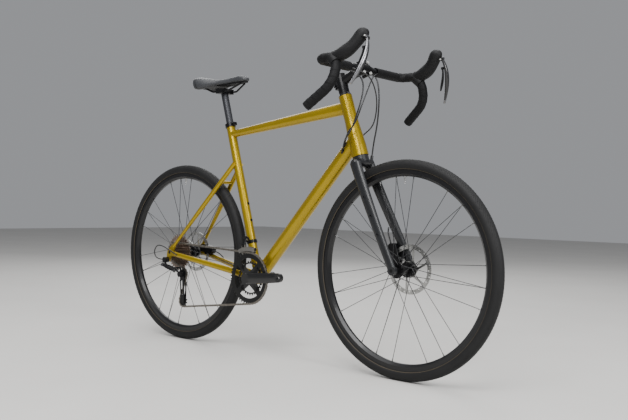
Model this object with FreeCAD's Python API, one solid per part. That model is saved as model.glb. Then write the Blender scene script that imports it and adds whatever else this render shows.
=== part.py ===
import FreeCAD, Part
import math
import os

V = FreeCAD.Vector
os.makedirs("parts", exist_ok=True)

# Driving dimensions of the whole bicycle, in millimetres and degrees
WHEELBASE = 1064.0
CHAINSTAY_LENGTH = 430.0
BB_DROP = 72.0
HEAD_ANGLE = 71.0
SEAT_ANGLE = 73.5
FORK_OFFSET = 51.0
AXLE_TO_CROWN = 395.0
BEAD_RADIUS = 311.0
TYRE_WIDTH = 38.0

# Clearances that serve the whole part
OVERRUN = 2.0
WELD_GAP = 0.05
RUNNING_FIT = 0.05
SEAT_FIT = 0.1
TOUCH_GAP = 0.3

# Frame tubes
HEAD_TUBE_LENGTH = 215.0
HEAD_TOP_RADIUS = 22.5
HEAD_LOW_RADIUS = 28.0
HEAD_LOW_HEIGHT = 34.0
HEAD_TAPER_HEIGHT = 90.0
HEAD_WALL = 3.0
TOP_TUBE_REAR_WIDTH = 31.0
TOP_TUBE_REAR_HEIGHT = 28.0
TOP_TUBE_FRONT_WIDTH = 34.0
TOP_TUBE_FRONT_HEIGHT = 44.0
TOP_TUBE_BELOW_COLLAR = 42.0
TOP_TUBE_BELOW_HEAD_TOP = 41.0
DOWN_TUBE_RADIUS = 24.5
DOWN_TUBE_ABOVE_HEAD_LOW = 60.0
SEAT_TUBE_LENGTH = 598.0
SEAT_TUBE_RADIUS = 16.5
TUBE_WALL = 1.6
SHELL_WIDTH = 68.0
SHELL_RADIUS = 24.6
SHELL_BORE_RADIUS = 17.4

# Rear triangle
REAR_HUB_WIDTH = 142.0
DROPOUT_THICKNESS = 7.0
DROPOUT_EYE_RADIUS = 14.0
DROPOUT_TAB_RADIUS = 8.5
CHAINSTAY_TAB_REACH = 34.0
SEATSTAY_TAB_REACH = 32.0
HANGER_BACK = 9.0
HANGER_DROP = 29.0
HANGER_RADIUS = 9.0
HANGER_BOLT_RADIUS = 5.0
CHAINSTAY_HEIGHT = 24.0
CHAINSTAY_WIDTH = 15.0
CHAINSTAY_END_HEIGHT = 19.0
CHAINSTAY_INSET = 31.0
CHAINSTAY_BEND_REACH = 105.0
STAY_BRIDGE_RADIUS = 6.0
SEATSTAY_RADIUS = 9.0
SEATSTAY_END_RADIUS = 6.2
SEATSTAY_PLAIN = 60.0
SEATSTAY_TAPER = 140.0
SEATSTAY_TOP_BELOW_COLLAR = 160.0
SEATSTAY_TOP_INSET = 17.0
TYRE_ROOM = 12.0

# Axles and hubs
THRU_AXLE_RADIUS = 6.0
AXLE_HEAD_RADIUS = 9.0
AXLE_HEAD_LENGTH = 4.0
HUB_TUBE_RADIUS = 9.5
HUB_SHELL_RADIUS = 15.0
FLANGE_RADIUS = 25.0
FLANGE_THICKNESS = 3.2
SPOKE_HOLE_RADIUS = 21.0
FRONT_HUB_WIDTH = 100.0
FRONT_FLANGE_DRIVE = 33.0
FRONT_FLANGE_DISC = 22.0
REAR_FLANGE_DRIVE = 20.0
REAR_FLANGE_DISC = 34.0
ROTOR_INSET = 11.0
ROTOR_RADIUS = 80.0
ROTOR_TRACK = 14.0
ROTOR_THICKNESS = 1.8
ROTOR_CENTRE_RADIUS = 27.0
ROTOR_BORE_RADIUS = 17.0
ROTOR_ARM_WIDTH = 7.0
ROTOR_ARMS = 6
ROTOR_SLOTS = 24
ROTOR_SLOT_RADIUS = 2.6
LOCKRING_RADIUS = 21.0
LOCKRING_WIDTH = 4.0

# Wheels
TYRE_WALL = 2.2
RIM_WIDTH = 24.0
RIM_FLANGE = 2.0
RIM_DEPTH = 16.0
RIM_LIP = 6.0
RIM_INNER_FLAT = 9.0
RIM_WALL = 1.8
SPOKES = 28
SPOKE_RADIUS = 1.0
SPOKE_HEAD_RADIUS = 1.9
SPOKE_CROSS_STEP = 4
SPOKE_SHIFT_SHARE = 0.25
NIPPLE_RADIUS = 2.2
NIPPLE_LENGTH = 12.0
VALVE_RADIUS = 3.0
VALVE_LENGTH = 38.0
VALVE_TIP_RADIUS = 2.0
VALVE_NUT_RADIUS = 5.5
VALVE_NUT_LENGTH = 3.0

# Chain, sprockets and cranks
CHAIN_PITCH = 12.7
ROLLER_RADIUS = 3.85
CHAIN_LINE = 50.6
RING_TEETH = 46
SMALL_RING_TEETH = 30
COG_TEETH = (11, 13, 15, 17, 19, 21, 23, 25, 27, 30, 34)
CHAIN_COG = 4
COG_PITCH = 3.74
COG_THICKNESS = 1.6
PULLEY_TEETH = 11
PULLEY_THICKNESS = 1.7
RING_THICKNESS = 1.8
RING_SPACING = 7.5
TOOTH_HEIGHT = 2.4
TOOTH_ROOM = 0.12
CRANK_LENGTH = 172.5
CRANK_ANGLE = 5.0
SPINDLE_RADIUS = 12.0
CUP_RADIUS = 20.5
CUP_LENGTH = 9.5
CRANK_BOSS_RADIUS = 19.0
PEDAL_EYE_RADIUS = 15.5
PEDAL_BORE_RADIUS = 7.14
ARM_THICKNESS = 12.0
ARM_WAIST_HEIGHT = 24.0
ARM_STANDOFF = 60.0
ARM_FLARE = 7.0
SPIDER_ARMS = 4
SPIDER_TURN = 40.0
RING_BOLT_CIRCLE = 55.0
SMALL_BOLT_CIRCLE = 40.0
SPIDER_TAB_RADIUS = 11.0
RING_BOLT_RADIUS = 4.0
RING_BOLT_HEAD_RADIUS = 5.5
RING_BOLT_HEAD = 2.5
RING_RIM = 20.0
SMALL_RING_RIM = 8.0
PLATE_THICKNESS = 0.72
PLATE_RADIUS = 4.1
INNER_LINK_GAP = 2.3
LINK_SIDE_GAP = 0.12
PIN_RADIUS = 1.75
FREEHUB_RADIUS = 17.0
COG_BORE_RADIUS = 17.1
SPACER_RADIUS = 20.0

# Steering assembly
LOWER_HEADSET = 8.0
UPPER_COVER = 10.0
BEARING_HEIGHT = 7.0
STEERER_RADIUS = 14.3
STEERER_LOW_RADIUS = 19.0
STEERER_WALL = 2.6
SPACER_STACK = 22.0
SPACER_COUNT = 3
SPACER_OUTER_RADIUS = 18.0
STEM_HEIGHT = 42.0
STEM_LENGTH = 92.0
STEM_RISE = 4.0
STEM_CLAMP_RADIUS = 19.0
STEM_BODY_RADIUS = 15.0
TOP_CAP_HEIGHT = 4.0
BAR_CLAMP_RADIUS = 15.9
BAR_CLAMP_WALL = 4.5
BAR_CLAMP_WIDTH = 46.0
FACEPLATE_GAP = 2.0
BOLT_RADIUS = 2.5
BOLT_HEAD_RADIUS = 4.25
BOLT_HEAD_HEIGHT = 5.0
BAR_HALF_WIDTH = 222.0
BAR_RADIUS = 11.9
BAR_WALL = 2.0
BAR_BULGE_HALF = 36.0
BAR_TAPER = 30.0
BAR_REACH = 82.0
BAR_DROP = 90.0
BAR_END_BACK = 80.0
BAR_END_FALL = 66.0
BAR_FLARE = 18.0
BAR_CORNER_RADIUS = 30.0
BAR_RAMP_RADIUS = 44.0
BAR_HOOK_RADIUS = 78.0
TAPE_THICKNESS = 3.0
TAPE_START = 70.0
PLUG_RADIUS = 14.5
PLUG_LENGTH = 5.0

# Fork
LEG_TOP_DEPTH = 42.0
LEG_TOP_WIDTH = 25.0
LEG_LOW_DEPTH = 29.0
LEG_LOW_WIDTH = 15.0
LEG_TOP_INSET = 36.0
CROWN_HEIGHT = 30.0
CROWN_DEPTH = 44.0
FORK_TIP_RADIUS = 14.0

# Seat
POST_RADIUS = 13.6
POST_WALL = 2.4
POST_INSERTION = 130.0
SADDLE_RISE = 122.0
COLLAR_HEIGHT = 14.0
COLLAR_WALL = 3.5
SADDLE_LENGTH = 272.0
SADDLE_SETBACK = 145.0
SADDLE_HALF_WIDTH = 70.0
SADDLE_HEIGHT = 30.0
SADDLE_ABOVE_RAILS = 27.0
SADDLE_CROWN = 7.0
SADDLE_CHANNEL = 6.0
SADDLE_SHELL_THICKNESS = 5.0
RAIL_RADIUS = 3.5
RAIL_SPACING = 22.0
RAIL_STRAIGHT = 42.0
RAIL_FRONT_REACH = 100.0
RAIL_REAR_REACH = 96.0
RAIL_FRONT_SPREAD = 9.0
RAIL_REAR_SPREAD = 34.0
RAIL_BEND_RADIUS = 26.0
CLAMP_LENGTH = 38.0
CLAMP_WIDTH = 58.0

# Derailleurs
GUIDE_AHEAD = 54.0
GUIDE_DROP = 83.0
CAGE_LENGTH = 106.0
CAGE_LEAN = 4.0
CAGE_GAP = 9.0
CAGE_PLATE = 1.8
CAGE_TOP_RADIUS = 13.0
CAGE_LOW_RADIUS = 11.0
PULLEY_BOLT_RADIUS = 2.5
CAGE_AXLE_RADIUS = 4.0
KNUCKLE_RADIUS = 11.0
KNUCKLE_LENGTH = 15.0
LINK_TILT = 25.0
LINK_AHEAD = 58.0
LINK_INWARD = 14.0
LINK_DROP = 21.0
LINK_BACK = 20.0
LINK_BASE_DROP = 49.0
LINK_BASE_SIDE = 97.0
LINK_SPREAD = 15.0
LINK_EYE_RADIUS = 5.0
LINK_EYE_HEIGHT = 12.0
LINK_PIN_RADIUS = 2.0
LINK_HALF_HEIGHT = 7.0
LINK_HALF_THICKNESS = 2.2
LUG_RADIUS = 3.2
LUG_CLEAR = 0.5
STOP_RADIUS = 4.0
STOP_LENGTH = 9.0
FD_BAND_ALONG = 135.0
FD_BAND_HEIGHT = 12.0
FD_BAND_WALL = 2.6
FD_PIVOT_SIDE = 34.0
FD_PIVOT_ABOVE_BB = 147.0
FD_ARM_OUT = 10.0
FD_ARM_DROP = 28.0
FD_EYE_RADIUS = 4.5
FD_EYE_LENGTH = 12.0
FD_PIN_RADIUS = 2.0
FD_CAGE_OUTER_RADIUS = 114.0
FD_INNER_PLATE_RADIUS = 87.0
FD_OUTER_PLATE_RADIUS = 99.5
FD_CAGE_PLATE = 1.0
FD_CAGE_GAP = 11.0
FD_CAGE_START = 74.0
FD_CAGE_END = 118.0
FD_BRIDGE_HEIGHT = 2.0

# Brake calipers and control levers
CALIPER_RADIUS = 15.0
CALIPER_LENGTH = 44.0
CALIPER_INNER = 13.0
CALIPER_OUTER = 10.0
CALIPER_SLOT = 4.8
CALIPER_ROTOR_ROOM = 2.5
CALIPER_BEHIND = 40.0
CALIPER_ALONG = 40.0
REAR_CALIPER_ABOVE = 26.0
REAR_CALIPER_ALONG = 48.0
PAD_RADIUS = 9.0
PAD_LENGTH = 14.0
PAD_GAP = 0.35
HOOD_HALF_WIDTH = 18.5
HOOD_HALF_HEIGHT = 21.5
HOOD_LENGTH = 100.0
HOOD_RISE = 74.0
HOOD_START = 62.0
HOOD_BORE_ROOM = 0.3
HOOD_COLLAR = 30.0
RAMP_MIDDLE = 45.0
LEVER_PIVOT_AHEAD = 176.0
LEVER_PIVOT_UP = 50.0
LEVER_PIN_RADIUS = 2.5
LEVER_LENGTH = 150.0
LEVER_HALF_WIDTH = 6.5
LEVER_HALF_DEPTH = 4.5
LEVER_STANDOFF = 16.0
PADDLE_LENGTH = 74.0
PADDLE_HALF_WIDTH = 8.0
PADDLE_HALF_DEPTH = 2.2
PADDLE_BEHIND = 15.0
PADDLE_PIN_RADIUS = 1.5

# Small fittings
BOSS_RADIUS = 4.5
BOSS_HEIGHT = 2.2
BOSS_THREAD_RADIUS = 2.5
BOSS_DEPTH = 9.0
BOSS_SPACING = 64.0
SEAT_BOSS_ALONG = 215.0
DOWN_BOSS_ALONG = 250.0
LEG_BOSS_ALONG = (254.0, 189.0, 124.0)
HOUSING_RADIUS = 2.2
HOSE_RADIUS = 2.5
PORT_RADIUS = 5.0
PORT_LENGTH = 8.0
PORT_BEHIND_HEAD = 40.0
PORT_SPACING = 22.0
PORT_LIFT = 8.0
STUB_INSET = 10.0
SHIFT_ANGLE = 45.0


def sin_deg(angle):
    return math.sin(math.radians(angle))


def cos_deg(angle):
    return math.cos(math.radians(angle))


# Reference points: the origin is on the ground, midway between the axles
AXLE_Z = BEAD_RADIUS + TYRE_WIDTH
SIDE = V(0, 1, 0)
UP = V(0, 0, 1)
FORWARD = V(1, 0, 0)
REAR_AXLE = V(-WHEELBASE / 2, 0, AXLE_Z)
FRONT_AXLE = V(WHEELBASE / 2, 0, AXLE_Z)
BB = REAR_AXLE + V(math.sqrt(CHAINSTAY_LENGTH ** 2 - BB_DROP ** 2), 0, -BB_DROP)
STEER_UP = V(-cos_deg(HEAD_ANGLE), 0, sin_deg(HEAD_ANGLE))
STEER_AHEAD = V(sin_deg(HEAD_ANGLE), 0, cos_deg(HEAD_ANGLE))
STEER_FOOT = FRONT_AXLE - STEER_AHEAD * FORK_OFFSET
SEAT_UP = V(-cos_deg(SEAT_ANGLE), 0, sin_deg(SEAT_ANGLE))
SEAT_AHEAD = V(sin_deg(SEAT_ANGLE), 0, cos_deg(SEAT_ANGLE))
CROWN_SEAT = math.sqrt(AXLE_TO_CROWN ** 2 - FORK_OFFSET ** 2)
HEAD_LOW = CROWN_SEAT + LOWER_HEADSET
HEAD_TOP = HEAD_LOW + HEAD_TUBE_LENGTH
STACK_LOW = HEAD_TOP + UPPER_COVER
STEM_LOW = STACK_LOW + SPACER_STACK
STEM_TOP = STEM_LOW + STEM_HEIGHT


def steer_point(along, ahead=0, side=0):
    """A point given along the steering axis, ahead of it and to its side."""
    return STEER_FOOT + STEER_UP * along + STEER_AHEAD * ahead + SIDE * side


def seat_point(along, ahead=0, side=0):
    """A point given along the seat tube from the crank axis."""
    return BB + SEAT_UP * along + SEAT_AHEAD * ahead + SIDE * side


BAR_CENTRE = steer_point(STEM_LOW + STEM_HEIGHT / 2 + STEM_RISE, STEM_LENGTH)


def rod(start, end, radius):
    return Part.makeCylinder(radius, (end - start).Length, start, end - start)


def cone(start, end, start_radius, end_radius):
    return Part.makeCone(start_radius, end_radius, (end - start).Length, start, end - start)


def pipe(start, end, outer, inner):
    reach = (end - start).normalize() * OVERRUN
    return rod(start, end, outer).cut(rod(start - reach, end + reach, inner))


def disc(centre, outer, inner, width):
    """A flat ring square to the bicycle's side, centred on its thickness."""
    return pipe(centre - SIDE * (width / 2), centre + SIDE * (width / 2), outer, inner)


def oval(centre, across, up, half_width, half_height, points=12):
    """A closed smooth oval that always starts on its across side."""
    turns = [2 * math.pi * i / points for i in range(points)]
    places = [centre + across * (half_width * math.cos(t)) + up * (half_height * math.sin(t)) for t in turns]
    curve = Part.BSplineCurve()
    curve.interpolate(places, True)
    return Part.Wire([curve.toShape()])


def loft(wires):
    return Part.makeLoft(wires, True, False)


def strap(start, end, start_radius, end_radius, low, high):
    """A flat tapered link in a side plane, from y = low to y = high."""
    a = V(start.x, low, start.z)
    b = V(end.x, low, end.z)
    line = b - a
    lean = math.acos((start_radius - end_radius) / line.Length)
    heading = math.atan2(line.z, line.x)

    def on(centre, radius, turn):
        return centre + V(radius * math.cos(heading + turn), 0, radius * math.sin(heading + turn))

    edges = [
        Part.Arc(on(a, start_radius, lean), on(a, start_radius, math.pi),
                 on(a, start_radius, -lean)).toShape(),
        Part.LineSegment(on(a, start_radius, -lean), on(b, end_radius, -lean)).toShape(),
        Part.Arc(on(b, end_radius, -lean), on(b, end_radius, 0), on(b, end_radius, lean)).toShape(),
        Part.LineSegment(on(b, end_radius, lean), on(a, start_radius, lean)).toShape(),
    ]
    return Part.Face(Part.Wire(edges)).extrude(SIDE * (high - low))


def rounded_path(points, radii):
    """Straight runs joined by tangent arcs, one radius for each inner point."""
    edges = []
    start = points[0]
    for before, corner, after, radius in zip(points, points[1:], points[2:], radii):
        back = (before - corner).normalize()
        on = (after - corner).normalize()
        turn = math.pi - back.getAngle(on)
        reach = radius * math.tan(turn / 2)
        middle = (back + on).normalize()
        centre = corner + middle * (radius / math.cos(turn / 2))
        first = corner + back * reach
        last = corner + on * reach
        if (first - start).Length > WELD_GAP:
            edges.append(Part.LineSegment(start, first).toShape())
        edges.append(Part.Arc(first, centre - middle * radius, last).toShape())
        start = last
    if (points[-1] - start).Length > WELD_GAP:
        edges.append(Part.LineSegment(start, points[-1]).toShape())
    return Part.Wire(edges)


def swept(path, radius, inner=0):
    """A round bar, or a tube with a bore, along a path."""
    start = path.OrderedEdges[0]
    heading = start.tangentAt(start.FirstParameter)
    spot = start.valueAt(start.FirstParameter)
    if start.Orientation == "Reversed":
        heading = start.tangentAt(start.LastParameter) * -1
        spot = start.valueAt(start.LastParameter)

    def body(size):
        ring = Part.Wire([Part.Circle(spot, heading, size).toShape()])
        return path.makePipeShell([ring], True, False)

    solid = body(radius)
    if inner:
        solid = solid.cut(body(inner))
    return solid


def free_radii(points, share=0.45):
    """The largest arc that the shorter of two runs leaves room for."""
    radii = []
    for before, corner, after in zip(points, points[1:], points[2:]):
        back = before - corner
        on = after - corner
        turn = math.pi - back.getAngle(on)
        radii.append(share * min(back.Length, on.Length) / math.tan(turn / 2))
    return radii


def mirrored(shape):
    """The same piece on the other side of the bicycle."""
    return shape.mirror(V(0, 0, 0), SIDE)


def spun(profile, centre):
    """A closed profile in the plane of the axle, turned about the axle."""
    return Part.Face(profile).revolve(centre, SIDE, 360)


def group(shapes):
    solids = []
    for shape in shapes:
        solids.extend(shape.Solids)
    return Part.makeCompound(solids)


def save(name, shape):
    shape.exportStep("parts/" + name + ".step")
    volume = sum(solid.Volume for solid in shape.Solids)
    print(name, len(shape.Solids), "solids", round(volume), "mm3", shape.isValid())


# Frame: head tube, with bearing seats at both ends
def head_outer(grow=0):
    low = steer_point(HEAD_LOW)
    waist = steer_point(HEAD_LOW + HEAD_LOW_HEIGHT)
    neck = steer_point(HEAD_LOW + HEAD_LOW_HEIGHT + HEAD_TAPER_HEIGHT)
    top = steer_point(HEAD_TOP)
    body = rod(low, waist, HEAD_LOW_RADIUS + grow)
    body = body.fuse(cone(waist, neck, HEAD_LOW_RADIUS + grow, HEAD_TOP_RADIUS + grow))
    return body.fuse(rod(neck, top, HEAD_TOP_RADIUS + grow)).removeSplitter()


UPPER_BEARING_RADIUS = HEAD_TOP_RADIUS - HEAD_WALL + TUBE_WALL / 2
LOWER_BEARING_RADIUS = HEAD_LOW_RADIUS - HEAD_WALL + TUBE_WALL / 2


def head_tube():
    low = steer_point(HEAD_LOW)
    top = steer_point(HEAD_TOP)
    body = head_outer()
    body = body.cut(rod(low - STEER_UP * OVERRUN, top + STEER_UP * OVERRUN, STEERER_LOW_RADIUS + TOUCH_GAP))
    body = body.cut(rod(low - STEER_UP * OVERRUN, low + STEER_UP * BEARING_HEIGHT, LOWER_BEARING_RADIUS))
    body = body.cut(rod(top - STEER_UP * BEARING_HEIGHT, top + STEER_UP * OVERRUN, UPPER_BEARING_RADIUS))
    return body


def seat_outer(grow=0):
    return rod(BB, seat_point(SEAT_TUBE_LENGTH), SEAT_TUBE_RADIUS + grow)


def shell_outer(grow=0):
    half = SIDE * (SHELL_WIDTH / 2)
    return rod(BB - half, BB + half, SHELL_RADIUS + grow)


def bottom_bracket_shell():
    return disc(BB, SHELL_RADIUS, SHELL_BORE_RADIUS, SHELL_WIDTH)


def insert(face, out, radius):
    """The room of a threaded insert whose face stands proud of its tube."""
    return rod(face - out * BOSS_DEPTH, face, radius)


def seat_boss_faces():
    height = SEAT_TUBE_RADIUS + BOSS_HEIGHT
    return [seat_point(SEAT_BOSS_ALONG + BOSS_SPACING * i, height) for i in (0, 1)]


def seat_tube():
    tube = seat_outer()
    bore = rod(BB, seat_point(SEAT_TUBE_LENGTH + OVERRUN), POST_RADIUS + RUNNING_FIT)
    for face in seat_boss_faces():
        tube = tube.cut(insert(face, SEAT_AHEAD, BOSS_RADIUS + WELD_GAP))
    return tube.cut(bore).cut(shell_outer(WELD_GAP))


TOP_TUBE_REAR = seat_point(SEAT_TUBE_LENGTH - TOP_TUBE_BELOW_COLLAR)
TOP_TUBE_FRONT = steer_point(HEAD_TOP - TOP_TUBE_BELOW_HEAD_TOP)
DOWN_TUBE_FRONT = steer_point(HEAD_LOW + DOWN_TUBE_ABOVE_HEAD_LOW)
DOWN_LINE = (DOWN_TUBE_FRONT - BB).normalize()
DOWN_UP = SIDE.cross(DOWN_LINE) * -1


def top_tube_form(shrink):
    line = (TOP_TUBE_FRONT - TOP_TUBE_REAR).normalize()
    up = SIDE.cross(line) * -1
    rear = oval(TOP_TUBE_REAR, SIDE, up, TOP_TUBE_REAR_WIDTH / 2 - shrink, TOP_TUBE_REAR_HEIGHT / 2 - shrink)
    front = oval(TOP_TUBE_FRONT, SIDE, up, TOP_TUBE_FRONT_WIDTH / 2 - shrink,
                 TOP_TUBE_FRONT_HEIGHT / 2 - shrink)
    return loft([rear, front])


def largest(shape):
    """The tube itself, without the scraps that a mitre leaves inside."""
    return max(shape.Solids, key=lambda solid: solid.Volume)


def top_tube():
    tube = top_tube_form(0).cut(top_tube_form(TUBE_WALL))
    return largest(tube.cut(head_outer(WELD_GAP)).cut(seat_outer(WELD_GAP)))


def down_outer(grow=0):
    return rod(BB, DOWN_TUBE_FRONT, DOWN_TUBE_RADIUS + grow)


def down_boss_faces():
    lift = DOWN_UP * (DOWN_TUBE_RADIUS + BOSS_HEIGHT)
    return [BB + DOWN_LINE * (DOWN_BOSS_ALONG + BOSS_SPACING * i) + lift for i in (0, 1)]


def down_tube():
    tube = down_outer().cut(rod(BB, DOWN_TUBE_FRONT, DOWN_TUBE_RADIUS - TUBE_WALL))
    for face in down_boss_faces():
        tube = tube.cut(insert(face, DOWN_UP, BOSS_RADIUS + WELD_GAP))
    tube = tube.cut(head_outer(WELD_GAP)).cut(shell_outer(WELD_GAP))
    return largest(tube.cut(seat_outer(WELD_GAP)))


# Rear triangle: two chainstays, two seatstays and their bridges, on plate dropouts
DROPOUT_INNER = REAR_HUB_WIDTH / 2
DROPOUT_MIDDLE = DROPOUT_INNER + DROPOUT_THICKNESS / 2
CHAINSTAY_LINE = (BB - REAR_AXLE).normalize()
SEATSTAY_TOP = seat_point(SEAT_TUBE_LENGTH - SEATSTAY_TOP_BELOW_COLLAR)
SEATSTAY_LINE = (SEATSTAY_TOP - REAR_AXLE).normalize()
CHAINSTAY_TAB = REAR_AXLE + CHAINSTAY_LINE * CHAINSTAY_TAB_REACH
SEATSTAY_TAB = REAR_AXLE + SEATSTAY_LINE * SEATSTAY_TAB_REACH
HANGER = REAR_AXLE + V(-HANGER_BACK, 0, -HANGER_DROP)


def dropout(side):
    """One plate with its axle eye and the tabs that the stays are welded to."""
    edges = sorted((side * DROPOUT_INNER, side * (DROPOUT_INNER + DROPOUT_THICKNESS)))
    plate = strap(REAR_AXLE, CHAINSTAY_TAB, DROPOUT_EYE_RADIUS, DROPOUT_TAB_RADIUS, *edges)
    plate = plate.fuse(strap(REAR_AXLE, SEATSTAY_TAB, DROPOUT_EYE_RADIUS, DROPOUT_TAB_RADIUS, *edges))
    if side < 0:
        plate = plate.fuse(strap(REAR_AXLE, HANGER, DROPOUT_EYE_RADIUS, HANGER_RADIUS, *edges))
        plate = plate.cut(rod(V(HANGER.x, edges[0] - OVERRUN, HANGER.z),
                              V(HANGER.x, edges[1] + OVERRUN, HANGER.z), HANGER_BOLT_RADIUS + RUNNING_FIT))
    bore = THRU_AXLE_RADIUS + RUNNING_FIT
    plate = plate.cut(rod(V(REAR_AXLE.x, edges[0] - OVERRUN, AXLE_Z),
                          V(REAR_AXLE.x, edges[1] + OVERRUN, AXLE_Z), bore))
    return plate.removeSplitter()


def across(point, half):
    return point - SIDE * half, point + SIDE * half


def chainstay_form(side, grow=0):
    """A stay that runs straight past the rings, then bends out to its dropout."""
    start = BB + SIDE * (side * CHAINSTAY_INSET)
    bend = BB - CHAINSTAY_LINE * CHAINSTAY_BEND_REACH + SIDE * (side * (CHAINSTAY_INSET + OVERRUN))
    end = CHAINSTAY_TAB + SIDE * (side * DROPOUT_MIDDLE)
    half_share = 0.5
    middle = bend + (end - bend) * half_share
    up = SIDE.cross(CHAINSTAY_LINE) * -1
    wide = CHAINSTAY_WIDTH / 2 + grow
    tall = CHAINSTAY_HEIGHT / 2 + grow
    low = CHAINSTAY_END_HEIGHT / 2 + grow
    sections = [
        oval(start, SIDE, up, wide, tall),
        oval(bend, SIDE, up, wide, tall),
        oval(middle, SIDE, up, wide, (tall + low) / 2),
        oval(end, SIDE, up, DROPOUT_THICKNESS + grow, low),
    ]
    return loft(sections)


def chainstay(side):
    room = rod(*across(BB, SHELL_WIDTH / 2 + CUP_LENGTH), SHELL_RADIUS + WELD_GAP)
    stay = chainstay_form(side).cut(room).cut(down_outer(WELD_GAP)).cut(seat_outer(WELD_GAP))
    return largest(stay.cut(tab_slot(side)))


def tab_slot(side, grow=WELD_GAP):
    """The room that a dropout plate takes up in the end of a stay."""
    edges = sorted((side * (DROPOUT_INNER - grow), side * (DROPOUT_INNER + DROPOUT_THICKNESS + grow)))
    tab = DROPOUT_TAB_RADIUS + grow
    eye = DROPOUT_EYE_RADIUS + grow
    slot = strap(REAR_AXLE, CHAINSTAY_TAB, eye, tab, *edges)
    return slot.fuse(strap(REAR_AXLE, SEATSTAY_TAB, eye, tab, *edges))


def stay_bridge(point, inset):
    half = SIDE * inset
    return rod(point - half, point + half, STAY_BRIDGE_RADIUS)


def chainstays():
    pair = [chainstay(1), chainstay(-1)]
    reach = CHAINSTAY_LENGTH - AXLE_Z - TYRE_ROOM - STAY_BRIDGE_RADIUS
    bridge = stay_bridge(BB - CHAINSTAY_LINE * reach, CHAINSTAY_INSET)
    for stay in pair:
        bridge = bridge.cut(stay)
    return group(pair + [largest(bridge)])


def seatstay(side):
    start = SEATSTAY_TAB + SIDE * (side * DROPOUT_MIDDLE)
    end = SEATSTAY_TOP + SIDE * (side * SEATSTAY_TOP_INSET)
    line = (end - start).normalize()
    taper = start + line * SEATSTAY_PLAIN
    full = taper + line * SEATSTAY_TAPER
    stay = rod(start, taper,
               SEATSTAY_END_RADIUS).fuse(cone(taper, full, SEATSTAY_END_RADIUS, SEATSTAY_RADIUS))
    stay = stay.fuse(rod(full, end, SEATSTAY_RADIUS))
    return largest(stay.cut(seat_outer(WELD_GAP)).cut(tab_slot(side)))


def seatstays():
    pair = [seatstay(1), seatstay(-1)]
    reach = AXLE_Z + TYRE_ROOM + STAY_BRIDGE_RADIUS
    total = (SEATSTAY_TOP - REAR_AXLE).Length
    spread = DROPOUT_MIDDLE + (SEATSTAY_TOP_INSET - DROPOUT_MIDDLE) * reach / total
    bridge = stay_bridge(REAR_AXLE + SEATSTAY_LINE * reach, spread)
    for stay in pair:
        bridge = bridge.cut(stay)
    return group(pair + [largest(bridge)])


def thru_axle(centre, inner_half, tip_thickness):
    """A through axle with a low head on the left, threaded into the right tip."""
    left = centre + SIDE * (inner_half + tip_thickness)
    right = centre - SIDE * (inner_half + tip_thickness)
    axle = rod(right, left, THRU_AXLE_RADIUS)
    head = rod(left, left + SIDE * AXLE_HEAD_LENGTH, AXLE_HEAD_RADIUS)
    key = rod(left, left + SIDE * (AXLE_HEAD_LENGTH + OVERRUN), THRU_AXLE_RADIUS / 2)
    return axle.fuse(head).cut(key)


# Bearings that are pressed into the frame: headset and bottom bracket
def frame_bearings():
    low = steer_point(HEAD_LOW)
    top = steer_point(HEAD_TOP)
    lower = pipe(low, low + STEER_UP * BEARING_HEIGHT, LOWER_BEARING_RADIUS - WELD_GAP,
                 STEERER_LOW_RADIUS + RUNNING_FIT)
    upper = pipe(top - STEER_UP * BEARING_HEIGHT, top, UPPER_BEARING_RADIUS - WELD_GAP,
                 STEERER_RADIUS + RUNNING_FIT)
    cups = []
    for side in (1, -1):
        inner = BB + SIDE * (side * SHELL_WIDTH / 2)
        outer = BB + SIDE * (side * (SHELL_WIDTH / 2 + CUP_LENGTH))
        cups.append(pipe(inner, outer, CUP_RADIUS, SPINDLE_RADIUS + RUNNING_FIT))
    return group([lower, upper] + cups)


# Wheels: tyre, rim with its valve, laced spokes, hub and brake rotor
def tyre(centre):
    crown = BEAD_RADIUS + TYRE_WIDTH / 2
    outer = TYRE_WIDTH / 2
    inner = outer - TYRE_WALL
    lip = BEAD_RADIUS + RIM_LIP + TOUCH_GAP
    bead = RIM_WIDTH / 2 - RIM_FLANGE - SEAT_FIT
    toe = bead - TYRE_WALL
    seat = BEAD_RADIUS + SEAT_FIT
    shelf = lip + TYRE_WALL
    outer_y = math.sqrt(outer ** 2 - (crown - lip) ** 2)
    inner_y = math.sqrt(inner ** 2 - (crown - shelf) ** 2)

    def at(y, radius):
        return centre + V(0, y, radius)

    corners = [at(-outer_y, lip), at(-bead, lip), at(-bead, seat), at(-toe, seat), at(-toe, shelf),
               at(-inner_y, shelf)]
    others = [V(p.x, -p.y, p.z) for p in reversed(corners)]
    edges = [Part.LineSegment(a, b).toShape() for a, b in zip(corners, corners[1:])]
    edges.append(Part.Arc(corners[-1], at(0, crown + inner), others[0]).toShape())
    edges.extend(Part.LineSegment(a, b).toShape() for a, b in zip(others, others[1:]))
    edges.append(Part.Arc(others[-1], at(0, crown + outer), corners[0]).toShape())
    return spun(Part.Wire(edges), centre)


RIM_INNER = BEAD_RADIUS - RIM_DEPTH


def rim_profile(centre, points):
    places = [centre + V(0, y, radius) for y, radius in points]
    return Part.makePolygon(places + [places[0]])


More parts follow.
